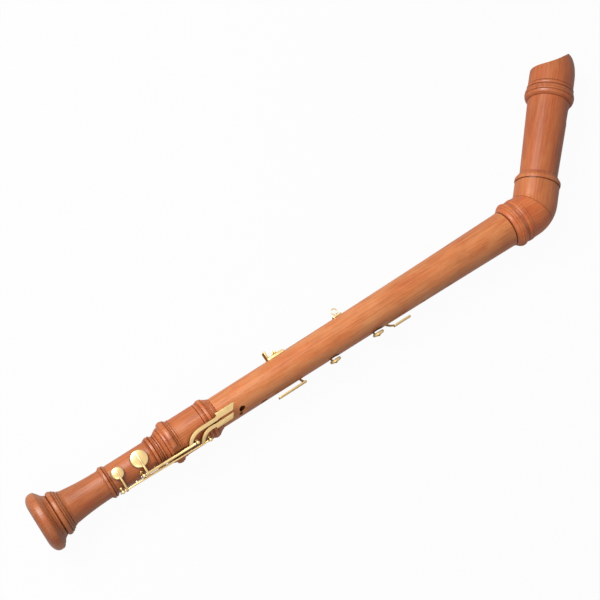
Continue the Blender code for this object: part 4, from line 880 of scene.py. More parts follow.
lower_mesh = carved(lower_bent, turned(lower_bore, FINE_SIDES), lower_seam)
lower_wood = pearwood("elbow_lower_pear", body_origin, 0.0, 7.7, (0.94, 0.76, 0.63))
add_piece("elbow_lower", lower_mesh, lower_wood)

ring = ELBOW_UPPER_LENGTH - 6.3 * MM
upper_outline = merged(
    [(MITRE_START, 0), (MITRE_START, ELBOW_RADIUS), (ring - 1.6 * MM, ELBOW_RADIUS)],
    [(ring - 0.5 * MM, ELBOW_RADIUS - 1.0 * MM), (ring, ELBOW_RADIUS - 0.9 * MM)],
    quarter((ring, ELBOW_RADIUS), (ring + 1.6 * MM, ELBOW_RING_RADIUS), square_first=True),
    quarter((ELBOW_UPPER_LENGTH - 3.0 * MM, ELBOW_RING_RADIUS), (ELBOW_UPPER_LENGTH, ELBOW_END_RADIUS),
            square_first=False),
    [(ELBOW_UPPER_LENGTH, 0)],
)
upper_floor = HEAD_SHOULDER - HEAD_TENON_LENGTH - GAP
upper_bore = [
    (-2 * ELBOW_RADIUS, 0), (-2 * ELBOW_RADIUS, HEAD_BORE_RADIUS), (upper_floor, HEAD_BORE_RADIUS),
    (upper_floor, elbow_socket), (ELBOW_UPPER_LENGTH + GAP, elbow_socket), (ELBOW_UPPER_LENGTH + GAP, 0),
]
upper_bent = bent_end(turned(upper_outline), MITRE_START, -BEND / 2)
upper_mesh = carved(upper_bent, turned(upper_bore, FINE_SIDES), seam(Matrix.Rotation(-BEND / 2, 4, "Z")))
corner_place = BODY @ Vector((CORNER, 0, 0))
upper_wood = pearwood("elbow_upper_pear", corner_place, BEND, 2.9, (0.90, 0.87, 0.84))
add_piece("elbow_upper", upper_mesh, upper_wood, HEAD)


# Head joint
# A tapered tube of pear with a heavy ring under the beak. The window with its sloping lip and the
# narrow windway are cut through its front, and the beak's underside is sawn hollow.
HEAD_TUBE = 48.1 * MM
HEAD_BEAD = 158.1 * MM
HEAD_CREST = 166.5 * MM
HEAD_GROOVE_END = 173.5 * MM
SMALL_BEAD = 174.1 * MM
BEAK = 179.7 * MM
BEAK_DOME = 195.0 * MM
BEAK_TIP = 230.8 * MM
HEAD_SHOULDER_RADIUS = 28.0 * MM
HEAD_TUBE_RADIUS = 25.0 * MM
HEAD_BEAD_RADIUS = 28.2 * MM
HEAD_CREST_RADIUS = 33.2 * MM
SMALL_BEAD_RADIUS = 30.3 * MM
SMALL_BEAD_HEIGHT = 1.3 * MM
BEAK_RADIUS = 30.6 * MM
BEAK_TIP_RADIUS = 18.0 * MM
BEAK_CUT_LENGTH = 29.0 * MM
BEAK_CUT_POWER = 2.2
BEAK_CUT_PAST_TIP = 36.0 * MM
BEAK_TIP_DEPTH = 15.6 * MM
BLOCK_END = 153.1 * MM
LABIUM = 146.6 * MM
WINDOW_WIDTH = 17.0 * MM
WINDOW_SPLAY = 0.5
WINDOW_CUT_RADIUS = 56.4 * MM
LABIUM_DEPTH = 16.3 * MM
LABIUM_SLOPE = 0.535
WINDWAY_ROOF = 17.2 * MM
WINDWAY_HEIGHT = 1.8 * MM


def prism(outline, half_width):
    """Solid with an outline in the XY plane, extruded evenly both ways along Z."""
    mesh = bmesh.new()
    face = mesh.faces.new([mesh.verts.new((x, y, -half_width)) for x, y in outline])
    new = bmesh.ops.extrude_face_region(mesh, geom=[face])
    moved = [item for item in new["geom"] if isinstance(item, bmesh.types.BMVert)]
    bmesh.ops.translate(mesh, vec=(0, 0, 2 * half_width), verts=moved)
    bmesh.ops.recalc_face_normals(mesh, faces=mesh.faces)
    return mesh


def beak_cutter():
    """Cutter of the beak's underside, hollow from the back of the head to the tip."""
    back = BEAK_RADIUS + GAP
    depth = back + BEAK_TIP_DEPTH
    outline = []
    for i in range(49):
        u = i / 48
        rise = BEAK_CUT_LENGTH * u ** BEAK_CUT_POWER
        outline.append((BEAK_TIP - BEAK_CUT_LENGTH + rise, back - depth * u))
    past = BEAK_TIP + BEAK_CUT_PAST_TIP
    outline += [(past, -BEAK_TIP_DEPTH), (past, back)]
    return prism(outline, BEAK_RADIUS + GAP)


tenon_end = HEAD_SHOULDER - HEAD_TENON_LENGTH
head_crest = (HEAD_CREST, HEAD_CREST_RADIUS)
head_rings = merged(
    [(HEAD_TUBE, HEAD_TUBE_RADIUS), (HEAD_BEAD, HEAD_BEAD_RADIUS)],
    quarter((HEAD_BEAD, HEAD_BEAD_RADIUS), head_crest, square_first=True, steps=24),
    quarter(head_crest, (HEAD_GROOVE_END, SMALL_BEAD_RADIUS), square_first=False, steps=20),
    bead((SMALL_BEAD, SMALL_BEAD_RADIUS), (BEAK, SMALL_BEAD_RADIUS), SMALL_BEAD_HEIGHT),
    [(BEAK, BEAK_RADIUS)],
)
HEAD_LINES_MM = ((159.6, 1.3, 0.70), (164.6, 1.5, 0.80), (168.4, 1.1, 0.40), (178.6, 1.4, 0.90))
head_lines = [[size * MM for size in line] for line in HEAD_LINES_MM]
head_outline = merged(
    reversed(tenon_outline(HEAD_SHOULDER, tenon_end, TOP_TENON[0], HEAD_BORE_RADIUS)),
    quarter((HEAD_SHOULDER, HEAD_SHOULDER_RADIUS), (HEAD_TUBE, HEAD_TUBE_RADIUS), square_first=False),
    scored(head_rings, head_lines),
    quarter((BEAK_DOME, BEAK_RADIUS), (BEAK_TIP, BEAK_TIP_RADIUS), square_first=False, steps=28),
    [(BEAK_TIP, HEAD_BORE_RADIUS)],
)
inside = HEAD_BORE_RADIUS - 4.0 * MM
past_tip = BEAK_TIP + GAP
half_window = WINDOW_WIDTH / 2
ramp_start = LABIUM - (WINDOW_CUT_RADIUS - LABIUM_DEPTH) / LABIUM_SLOPE
window_outline = [
    (BLOCK_END, -inside), (BLOCK_END, -WINDOW_CUT_RADIUS), (ramp_start, -WINDOW_CUT_RADIUS),
    (LABIUM, -LABIUM_DEPTH), (LABIUM, -inside),
]
window = prism(window_outline, half_window)
for vertex in window.verts:
    vertex.co.z *= 1 + (-vertex.co.y - LABIUM_DEPTH) * WINDOW_SPLAY / half_window
windway = block_between((BLOCK_END - GAP, -WINDWAY_ROOF, -half_window), (past_tip, -inside, half_window))
head_mesh = carved(turned(head_outline, ring=True), beak_cutter(), window, windway)
head_wood = pearwood("head_pear", corner_place, BEND, 9.4, (0.79, 0.68, 0.58))
add_piece("head_joint", head_mesh, head_wood, HEAD)


# Block
# A plug of cedar that closes the head's bore under the beak and leaves the narrow windway over
# itself. It is left without oil, so it is paler and duller than the pear.
CEDAR_DARK = (0.36, 0.135, 0.062, 1)
CEDAR_LIGHT = (0.63, 0.33, 0.175, 1)


def cedar(name):
    """Dry cedar with straight close grain."""
    dry = Finish(name)
    grain = dry.clouds(dry.stretched(dry.along_grain(corner_place, BEND), (14, 420, 420)), 4.0, 0.6)
    return dry.surfaced({
        "Base Color": dry.ramp(grain, (0.32, CEDAR_DARK), (0.70, CEDAR_LIGHT)),
        "Roughness": 0.74,
        "Specular IOR Level": 0.25,
        "Normal": dry.bump(grain, 0.3, 0.1 * MM),
    })


plug = rod(BLOCK_END, past_tip, HEAD_BORE_RADIUS - GAP, WOOD_SIDES)
ridge_floor = WINDWAY_ROOF - WINDWAY_HEIGHT
ridge = block_between((BLOCK_END, -ridge_floor, GAP - half_window), (past_tip, -inside, half_window - GAP))
block = carved(welded(plug, ridge), beak_cutter())
add_piece("block", block, cedar("block_cedar"), HEAD)


# Tenon corks
# Each tenon is wrapped with a thin sheet of cork, glued in a shallow groove, then waxed and a
# little crushed by the socket that it goes into.
CORK_EDGE = 0.3 * MM
CORK_DARK = (0.17, 0.080, 0.036, 1)
CORK_LIGHT = (0.47, 0.27, 0.135, 1)


def flecked(name, dark, light, scale, roughness, relief):
    """Dull soft material with a cloudy colour and fine flecks."""
    soft = Finish(name)
    cloud = soft.clouds(soft.place, 6.0, 0.65, scale)
    pits = soft.add("ShaderNodeTexVoronoi", {"Vector": soft.place, "Scale": 2.2 * scale})
    height = soft.maths("MULTIPLY", cloud, pits.outputs["Distance"])
    return soft.surfaced({
        "Base Color": soft.ramp(cloud, (0.30, dark), (0.66, light)),
        "Roughness": roughness,
        "Specular IOR Level": 0.3,
        "Normal": soft.bump(height, 0.5, relief),
    })


cork = flecked("cork", CORK_DARK, CORK_LIGHT, 620, 0.86, 0.25 * MM)
TENON_CORKS = (
    ("foot_tenon_cork", MIDDLE, low_end, LOW_TENON[0], BODY),
    ("elbow_tenon_cork", MIDDLE_TOP, top_end, TOP_TENON[0], BODY),
    ("head_tenon_cork", HEAD_SHOULDER, tenon_end, TOP_TENON[0], HEAD),
)
for node, shoulder, end, radius, frame_at in TENON_CORKS:
    step = 1 if end > shoulder else -1
    near = shoulder + step * (CORK_MARGIN + GAP)
    far = end - step * (CORK_MARGIN + GAP)
    inner = radius - CORK_THICKNESS
    outline = [(near, inner), (near, radius - CORK_EDGE), (near + step * CORK_EDGE, radius),
               (far - step * CORK_EDGE, radius), (far, radius - CORK_EDGE), (far, inner)]
    add_piece(node, turned(outline, ring=True), cork, frame_at)


# Key posts
# Each hinge hangs between two small turned brass posts, screwed into the wood. The lower post of
# each pair is also drilled across its stem for the root of the key's needle spring.
KEYS = FOOT_KEYS + MIDDLE_KEYS
BRASS_PALE = (0.93, 0.665, 0.305, 1)
# Dark colour of tarnish. It also stands for painted shade in corners and for the painted dark reflection on
# sides turned away from the bright direction.
BRASS_TARNISH_AND_SHADE = (0.17, 0.095, 0.035, 1)
# Dark tint of the brass's reflection at grazing angles, which draws dark outlines: a painted dark
# reflection.
BRASS_EDGE = (0.34, 0.18, 0.06, 1)
ROD_RADIUS = 0.85 * MM
RUNNING_FIT = 0.08 * MM
POST_RADIUS = 1.9 * MM
POST_HEAD_RADIUS = 2.6 * MM
POST_BALL_START = radians(48)
POST_FLANGE_RADIUS = 2.5 * MM
POST_FLANGE_THICKNESS = 1.0 * MM
LUG_THICKNESS = 1.2 * MM
LUG_WIDTH = 1.8 * MM
SPRING_RADIUS = 0.35 * MM
SPRING_DROP = 2.9 * MM
SPRING_REST_GAP = 0.5 * MM


def brass(name, painted_bright_facing, sides=0.6, roughness=0.24):
    """Brass with a painted reflection, pale on faces square to one direction and darker on its other sides,
    with tarnish in patches and tarnish and painted shade in corners.
    """
    metal = Finish(name)
    cloud = metal.clouds(metal.place, 4.0, 0.6, 160)
    scratches = metal.clouds(metal.stretched(metal.place, (90, 2600, 2600)), 3.0, 0.7)
    # Tarnish and painted shade: darker in corners and where the brass lies close to the wood or to another
    # part.
    open_face = metal.hollows(2.2 * MM, 0.25, 0.78)
    patch = metal.levels(cloud, 0.35, 0.62, 0.86, 1.0)
    # Painted reflection: faces square to the given direction keep the pale colour, and faces turned away
    # from it fall towards the dark one, down to the share given by sides.
    facing = metal.add("ShaderNodeVectorMath", {0: metal.normal, 1: Vector(painted_bright_facing).normalized()},
                       operation="DOT_PRODUCT")
    painted_reflection = metal.levels(metal.maths("ABSOLUTE", facing.outputs["Value"]), 0.2, 0.7, sides, 1.0)
    bright = metal.maths("MULTIPLY", metal.maths("MULTIPLY", open_face, patch), painted_reflection)
    return metal.surfaced({
        "Metallic": 1.0,
        "Base Color": metal.blended(bright, BRASS_TARNISH_AND_SHADE, BRASS_PALE),
        "Roughness": metal.levels(scratches, 0.3, 0.7, roughness, roughness + 0.14),
        "Specular Tint": BRASS_EDGE,
        "Normal": metal.bump(scratches, 0.12, 0.03 * MM),
    })


# Each brass is given the direction whose faces get the bright painted reflection.
foot_brass = brass("foot_key_brass", (0, -0.5, 0.87))
front_brass = brass("front_key_brass", (0, -1, 0), sides=0.85)


def key_brass(key):
    """Brass of a key and its posts, with a painted reflection that is bright on the side that faces
    outward.
    """
    return foot_brass if key in FOOT_KEYS else front_brass


def rod_between(start, end, radius):
    """Plain cylinder between two points."""
    return rod(0, (end - start).length, radius, SMALL_SIDES, line_frame(start, end))


def spring_ends(key):
    """Ends of a needle spring: in the stem of the lower post, and beside the lug."""
    root = round_body(key.posts[0], key.angle, hinge_radius(key, key.posts[0]) - SPRING_DROP)
    beyond = key.lug_station + LUG_WIDTH
    aside = LUG_THICKNESS / 2 + SPRING_REST_GAP + SPRING_RADIUS
    radius = hinge_radius(key, beyond) - SPRING_DROP
    return root, round_body(beyond, key.angle - aside / radius, radius)


def make_post(key, station):
    """Turned post: a shank in the wood, a flange, a waisted stem and a ball that holds the rod."""
    wood = body_radius(station)
    hinge = hinge_radius(key, station)
    flange = wood + POST_FLANGE_THICKNESS
    ball = []
    for i in range(19):
        u = POST_BALL_START + (pi - POST_BALL_START) * i / 18
        ball.append((hinge - POST_HEAD_RADIUS * cos(u), POST_HEAD_RADIUS * sin(u)))
    stem_end = min(max(ball[0][0], flange + 0.2 * MM), hinge)
    flange_edge = (flange - 0.35 * MM, POST_FLANGE_RADIUS)
    outline = merged(
        [(wood - POST_SHANK_LENGTH, 0), (wood - POST_SHANK_LENGTH, POST_SHANK_RADIUS)],
        [(wood - GAP / 2, POST_SHANK_RADIUS), (wood - GAP / 2, POST_FLANGE_RADIUS)],
        quarter(flange_edge, (flange, POST_RADIUS - 0.15 * MM), square_first=False, steps=5),
        [(stem_end, POST_RADIUS - 0.1 * MM)],
        [point for point in ball if point[0] > stem_end + 0.05 * MM],
    )
    mesh = turned(outline, FINE_SIDES, radial_frame(station, key.angle))
    low, high = (hinge_point(key, station + side) for side in (-2 * POST_HEAD_RADIUS, 2 * POST_HEAD_RADIUS))
    drills = [rod_between(low, high, ROD_RADIUS + RUNNING_FIT)]
    if station == key.posts[0]:
        root, tip = spring_ends(key)
        reach = (tip - root).normalized()
        behind = root - reach * (POST_RADIUS + GAP)
        ahead = root + reach * (POST_FLANGE_RADIUS + GAP)
        drills.append(rod_between(behind, ahead, SPRING_RADIUS + GAP))
    return carved(mesh, *drills)


for key in KEYS:
    for name, station in zip(("lower_post", "upper_post"), key.posts):
        add_piece(f"{key.name}_{name}", make_post(key, station), key_brass(key))


# Keys
# Each key is a drawn brass tube on a steel rod, with a turned cup, a tapered arm across it and a
# sawn touch. The parts are silver-soldered, filed and polished, and the key rests open.
ARM_ROOT_WIDTH = 3.0 * MM
ARM_TIP_WIDTH = 1.2 * MM
ARM_THICKNESS = 1.5 * MM
ARM_ON_CUP = 0.2 * MM
ARM_REACH_ON_CUP = 0.7
CUP_WALL = 0.9 * MM
CUP_DEPTH = 2.6 * MM
CUP_DOME = 1.3 * MM
CUP_WAIST = 0.25 * MM
PAD_THICKNESS = 2.2 * MM
PAD_PROUD = 0.5 * MM
CLOSED_PAD_GAP = 0.2 * MM
TOUCH_RADIUS = 28.0 * MM
LOW_TOUCH_WIDTH = 4.8 * MM
LOW_TOUCH_THICKNESS = 1.6 * MM
LOW_TOUCH_CORNER = 1.4 * MM
FRONT_TOUCH_WIDTH = 8.0 * MM
FRONT_TOUCH_THICKNESS = 2.0 * MM
FRONT_TOUCH_HEIGHT = 1.6 * MM
FRONT_TOUCH_EDGE = 1.2 * MM
FRONT_TOUCH_CROWN = 1.1 * MM
FRONT_TOUCH_TILT = radians(12.0)
FRONT_TOUCH_CORNER = 1.6 * MM
FRONT_TOUCH_STRIPS = 8
FILED_EDGE = 0.3 * MM
FILED_FROM = radians(35)
SOLDERED_COLLAR = 0.35 * MM
COLLAR_LENGTH = 2.0 * MM
COLLAR_SLOPE_END = 2.2 * MM
FINE_FILED_EDGE = 0.2 * MM
DRILL_PAST_END = 1.7 * MM


def softened(mesh, width=FILED_EDGE):
    """Mesh with its sharp edges eased, as with a file."""
    sharp = [edge for edge in mesh.edges
             if len(edge.link_faces) == 2 and edge.calc_face_angle() > FILED_FROM]
    bmesh.ops.bevel(mesh, geom=sharp, offset=width, affect="EDGES", segments=2, profile=0.5,
                    material=-1, clamp_overlap=True)
    return mesh


def with_round_corners(mesh, corner, axis):
    """Block with its edges along one axis rounded."""
    upright = [edge for edge in mesh.edges if abs((edge.verts[0].co - edge.verts[1].co)[axis]) > 1e-6]
    bmesh.ops.bevel(mesh, geom=upright, offset=corner, affect="EDGES", segments=5, profile=0.5, material=-1)
    return mesh


def placed(mesh, frame_at):
    """Mesh carried from its own frame to another."""
    bmesh.ops.transform(mesh, matrix=frame_at, verts=mesh.verts)
    return mesh


def band(stations, thickness, end_rounding=0.0):
    """Flat strip of metal through stations of (low edge, high edge, outward direction)."""
    mesh = bmesh.new()
    rings = []
    for low, high, normal in stations:
        lift = normal * thickness / 2
        corners = (low - lift, high - lift, high + lift, low + lift)
        verts = [mesh.verts.new(corner) for corner in corners]
        rings.append([mesh.edges.new((verts[i], verts[(i + 1) % 4])) for i in range(4)])
    for near, far in zip(rings, rings[1:]):
        bmesh.ops.bridge_loops(mesh, edges=near + far)
    bmesh.ops.contextual_create(mesh, geom=rings[0])
    bmesh.ops.contextual_create(mesh, geom=rings[-1])
    bmesh.ops.recalc_face_normals(mesh, faces=mesh.faces)
    if end_rounding:
        bmesh.ops.bevel(mesh, geom=[rings[-1][1], rings[-1][3]], offset=end_rounding, affect="EDGES",
                        segments=5, profile=0.5, material=-1)
    return softened(mesh)


def along_centreline(points, widths):
    """Band stations whose edges lie half a width to each side of (station, angle, radius) points."""
    stations = []
    last = len(points) - 1
    for i, ((station, angle, radius), width) in enumerate(zip(points, widths)):
        before = points[max(i - 1, 0)]
        after = points[min(i + 1, last)]
        run = Vector((after[0] - before[0], (after[1] - before[1]) * radius)).normalized()
        low = round_body(station + run.y * width / 2, angle - run.x * width / 2 / radius, radius)
        high = round_body(station - run.y * width / 2, angle + run.x * width / 2 / radius, radius)
        stations.append((low, high, outward(angle)))
    return stations


def cup_arm(key, top):
    """Arm from the tail, over the hinge tube and on across the cup's dome, narrower to its tip."""
    station = key.hole_station
    hinge = hinge_radius(key, station)
    reach = asin(ARM_REACH_ON_CUP * key.cup_radius / top)
    points = [(station, key.angle - key.tail / hinge, hinge)]
    for i in range(17):
        u = i / 16
        angle = key.angle + (key.hole_angle - key.angle) * u
        points.append((station, angle, hinge + (top - hinge) * u))
    points.append((station, key.hole_angle + reach / 2, top - CUP_DOME / 12))
    points.append((station, key.hole_angle + reach, top - CUP_DOME / 4))
    last = len(points) - 1
    widths = [ARM_ROOT_WIDTH + (ARM_TIP_WIDTH - ARM_ROOT_WIDTH) * i / last for i in range(last + 1)]
    return band(along_centreline(points, widths), ARM_THICKNESS, ARM_TIP_WIDTH / 3)


def low_touch(key, root, bend, arm_angle, plate_start, plate_end, plate_angles):
    """Touch of a low key: a bent arm off the tube, and a slanted plate with a step at its start."""
    start = FOOT_TOP + root
    hinge = hinge_radius(key, start)
    points = []
    for i in range(17):
        u = pi / 2 * i / 16
        angle = key.angle + (arm_angle - key.angle) * sin(u)
        points.append((start + bend * (1 - cos(u)), angle, hinge + (TOUCH_RADIUS - hinge) * i / 16))
    points.append((FOOT_TOP + plate_start - GAP, arm_angle, TOUCH_RADIUS))
    stations = along_centreline(points, [LOW_TOUCH_WIDTH] * len(points))
    low_angle, high_angle = plate_angles
    middle_angle = (low_angle + high_angle) / 2
    for low_end_at, high_end_at in ((plate_start, plate_start), plate_end):
        low = round_body(FOOT_TOP + low_end_at, low_angle, TOUCH_RADIUS)
        high = round_body(FOOT_TOP + high_end_at, high_angle, TOUCH_RADIUS)
        stations.append((low, high, outward(middle_angle)))
    return [band(stations, LOW_TOUCH_THICKNESS, LOW_TOUCH_CORNER)]


def front_touch(key, arm_at, start_at, end_at):
    """Touch of a key for hole 3 or 4: an arm off the tube and a crowned plate over the front line."""
    arm = key.posts[0] + arm_at
    start, end = MIDDLE + start_at, MIDDLE + end_at
    hinge = hinge_radius(key, arm)
    height = middle_radius(end) + FRONT_TOUCH_HEIGHT + FRONT_TOUCH_THICKNESS / 2
    half = FRONT_TOUCH_WIDTH / 2
    root = min(max(arm, start + half), end - ARM_THICKNESS)
    points = []
    for i in range(13):
        u = i / 12
        angle = key.angle * (1 - u) + key.hole_angle * u
        points.append((arm + (root - arm) * u, angle, hinge + (height - hinge) * u))
    under = height - FRONT_TOUCH_THICKNESS / 2
    plate = block_between((under, -half, start), (under + FRONT_TOUCH_EDGE, half, end))
    plate = with_round_corners(plate, FRONT_TOUCH_CORNER, 0)
    for i in range(1, FRONT_TOUCH_STRIPS):
        whole = plate.verts[:] + plate.edges[:] + plate.faces[:]
        across = half * (2 * i / FRONT_TOUCH_STRIPS - 1)
        bmesh.ops.bisect_plane(plate, geom=whole, dist=1e-7, plane_co=(0, across, 0), plane_no=(0, 1, 0))
    for vert in plate.verts:
        if vert.co.x > under + FRONT_TOUCH_EDGE / 2:
            vert.co.x += FRONT_TOUCH_CROWN * (1 - (vert.co.y / half) ** 2)
    near_edge = Matrix.Translation((under, -half, 0))
    tilt = near_edge @ Matrix.Rotation(-FRONT_TOUCH_TILT, 4, "Z") @ near_edge.inverted()
    plate = placed(softened(plate), radial_frame(0, key.hole_angle) @ tilt)
    return [band(along_centreline(points, [ARM_ROOT_WIDTH] * len(points)), ARM_THICKNESS), plate]


def make_cup(key):
    """Turned cup in its closed place, the cutter of its pad's bed, and the height of its dome."""
    frame_at = radial_frame(key.hole_station, key.hole_angle)
    rim = seat_height(key) + CLOSED_PAD_GAP + PAD_PROUD
    edge = rim + CUP_DEPTH
    top = edge + CUP_DOME
    radius = key.cup_radius
    waist = radius - CUP_WAIST
    outline = merged(
        [(rim, 0), (rim, radius - 0.2 * MM), (rim + 0.2 * MM, radius), (rim + 0.7 * MM, radius)],
        [(rim + 0.9 * MM, waist), (edge - 0.4 * MM, waist)],
        quarter((edge - 0.4 * MM, waist), (top, 0), square_first=False),
    )
    bed_top = rim - PAD_PROUD + PAD_THICKNESS + GAP
    bed = rod(rim - GAP, bed_top, radius - CUP_WALL, FINE_SIDES, frame_at)
    return turned(outline, FINE_SIDES, frame_at), bed, top


def spring_lug(key):
    """Lug under the hinge tube, against which the spring presses."""
    hinge = hinge_radius(key, key.lug_station)
    half = LUG_THICKNESS / 2
    low = (hinge - SPRING_DROP - 2 * SPRING_RADIUS, -half, key.lug_station - LUG_WIDTH / 2)
    high = (hinge, half, key.lug_station + LUG_WIDTH / 2)
    return softened(block_between(low, high, radial_frame(0, key.angle)), FINE_FILED_EDGE)


def tube_ends(key):
    """Ends of a key's hinge tube, just inside its posts."""
    beside_post = POST_HEAD_RADIUS + GAP
    return hinge_point(key, key.posts[0] + beside_post), hinge_point(key, key.posts[1] - beside_post)


def make_key(key, touch):
    """Whole key in its closed place: tube, arm, cup, lug and touch in one, with bores for rod and pad."""
    base, end = tube_ends(key)
    length = (end - base).length
    thick = key.tube_radius
    thin = key.tube_radius - SOLDERED_COLLAR / 3
    bevel = 0.15 * MM
    tube_outline = [
        (0, 0), (0, thick - bevel), (bevel, thick), (COLLAR_LENGTH, thick), (COLLAR_SLOPE_END, thin),
        (length - COLLAR_SLOPE_END, thin), (length - COLLAR_LENGTH, thick), (length - bevel, thick),
        (length, thick - bevel), (length, 0),
    ]
    tube_mesh = turned(tube_outline, FINE_SIDES, line_frame(base, end))
    cup, bed, top = make_cup(key)
    whole = welded(tube_mesh, cup_arm(key, top + ARM_ON_CUP), cup, spring_lug(key), *touch)
    past_end = (end - base).normalized() * DRILL_PAST_END
    return carved(whole, rod_between(base - past_end, end + past_end, ROD_RADIUS + RUNNING_FIT), bed)


def opened(key):
    """Place of a key at rest, swung open from its closed place on its hinge."""
    base, end = tube_ends(key)
    swing = Quaternion(end - base, key.open_angle).to_matrix().to_4x4()
    return BODY @ (Matrix.Translation(base) @ swing @ Matrix.Translation(-base))


TOUCHES = {
    "low_f": low_touch(LOW_F, root=-47.4 * MM, bend=19.0 * MM, arm_angle=radians(74.0),
                       plate_start=-4.6 * MM, plate_end=(16.4 * MM, 22.2 * MM),
                       plate_angles=(radians(70.6), radians(87.3))),
    "low_f_sharp": low_touch(LOW_F_SHARP, root=-33.0 * MM, bend=16.4 * MM, arm_angle=radians(62.5),
                             plate_start=-10.6 * MM, plate_end=(11.8 * MM, 16.0 * MM),
                             plate_angles=(radians(52.0), radians(66.2))),
    "hole_4": front_touch(HOLE_4, arm_at=8.4 * MM, start_at=76.2 * MM, end_at=117.1 * MM),
    "hole_3": front_touch(HOLE_3, arm_at=28.0 * MM, start_at=250.9 * MM, end_at=276.2 * MM),
}
for key in KEYS:
    add_piece(f"{key.name}_key", make_key(key, TOUCHES[key.name]), key_brass(key), opened(key))


# Pads
# A disc of leather over felt, shellacked into each cup. Its face stands up in a faint ring where it
# meets the hole's edge.
PAD_ROUNDING = 0.5 * MM
PAD_RING_HEIGHT = 0.05 * MM
LEATHER_DARK = (0.20, 0.12, 0.07, 1)
LEATHER_LIGHT = (0.40, 0.28, 0.18, 1)

leather = flecked("pad_leather", LEATHER_DARK, LEATHER_LIGHT, 900, 0.78, 0.1 * MM)
for key in KEYS:
    low = seat_height(key) + CLOSED_PAD_GAP
    radius = key.cup_radius - CUP_WALL - GAP
    hole = key.hole_radius
    pad_outline = merged(
        [(low, 0), (low, hole), (low - PAD_RING_HEIGHT, hole + 0.3 * MM), (low, hole + 0.6 * MM)],
        quarter((low, radius - PAD_ROUNDING), (low + PAD_ROUNDING, radius), square_first=True, steps=5),
        [(low + PAD_THICKNESS, radius), (low + PAD_THICKNESS, 0)],
    )
    pad = turned(pad_outline, FINE_SIDES, radial_frame(key.hole_station, key.hole_angle))
    add_piece(f"{key.name}_pad", pad, leather, opened(key))


# Bumpers
# A short cork under each key's tail. It is glued to the brass and meets the wood when the key
# stands open.
BUMPER_RADIUS = 1.0 * MM

for key in KEYS:
    station = key.hole_station
    hinge = hinge_point(key, station)
    hinge_height = hinge_radius(key, station)
    centre_angle = key.angle - (key.tail - GAP - BUMPER_RADIUS) / hinge_height
    under_tail = round_body(station, centre_angle, hinge_height - ARM_THICKNESS / 2 - 2 * GAP)
    open_turn = Matrix.Rotation(key.open_angle, 3, "X")
    under_open_tail = hinge + open_turn @ (under_tail - hinge)
    on_wood = Vector((0, under_open_tail.y, under_open_tail.z)).normalized()
    wood = body_radius(station)
    sag = wood - sqrt(wood ** 2 - BUMPER_RADIUS ** 2)
    foot = Vector((station, 0, 0)) + on_wood * (wood + GAP + sag)
    closed_foot = hinge + open_turn.inverted() @ (foot - hinge)
    bumper = rod_between(closed_foot, under_tail, BUMPER_RADIUS)
    add_piece(f"{key.name}_bumper", bumper, cork, opened(key))


# Hinge rods
# A burnished steel rod with a slotted head passes through both posts and the key's tube. On the
# real key its end is screwed into the upper post.
ROD_HEAD_RADIUS = 1.7 * MM
ROD_HEAD_LENGTH = 0.9 * MM
ROD_END_BEVEL = 0.2 * MM
DRIVER_SLOT_WIDTH = 0.44 * MM
DRIVER_SLOT_DEPTH = 0.45 * MM
STEEL_DARK = (0.34, 0.34, 0.35, 1)
STEEL_LIGHT = (0.58, 0.57, 0.56, 1)


def steel(name):
    """Steel, burnished and a little oily."""
    burnished = Finish(name)
    cloud = burnished.clouds(burnished.place, 4.0, 0.6, 420)
    return burnished.surfaced({
        "Metallic": 1.0,
        "Base Color": burnished.ramp(cloud, (0.35, STEEL_DARK), (0.65, STEEL_LIGHT)),
        "Roughness": burnished.levels(cloud, 0.3, 0.7, 0.24, 0.40),
    })


needle_steel = steel("needle_steel")
for key in KEYS:
    start = hinge_point(key, key.posts[0] - POST_HEAD_RADIUS)
    far = hinge_point(key, key.posts[1] + POST_HEAD_RADIUS)
    length = (far - start).length
    head_start = -GAP - ROD_HEAD_LENGTH
    rod_outline = [
        (head_start, 0), (head_start, ROD_HEAD_RADIUS - 0.3 * MM), (head_start + 0.3 * MM, ROD_HEAD_RADIUS),
        (-GAP, ROD_HEAD_RADIUS), (-GAP, ROD_RADIUS), (length - ROD_END_BEVEL, ROD_RADIUS),
        (length, ROD_RADIUS - ROD_END_BEVEL), (length, 0),
    ]
    half = DRIVER_SLOT_WIDTH / 2
    driver_slot = block_between((head_start - GAP, -half, -2 * ROD_HEAD_RADIUS),
                                (head_start + DRIVER_SLOT_DEPTH, half, 2 * ROD_HEAD_RADIUS))
    hinge_rod = placed(carved(turned(rod_outline, FINE_SIDES), driver_slot), line_frame(start, far))
    add_piece(f"{key.name}_hinge_rod", hinge_rod, needle_steel)


# Springs
# A steel needle is driven through the stem of each lower post. Its free end lies beside the lug
# under the tube, where on the real key it presses to hold the key open.
SPRING_TIP_RADIUS = 0.15 * MM

for key in KEYS:
    root, tip = spring_ends(key)
    reach = (tip - root).length
    outline = [(0, 0), (0, SPRING_RADIUS), (reach, SPRING_TIP_RADIUS), (reach, 0)]
    add_piece(f"{key.name}_spring", turned(outline, SMALL_SIDES, line_frame(root, tip)), needle_steel)


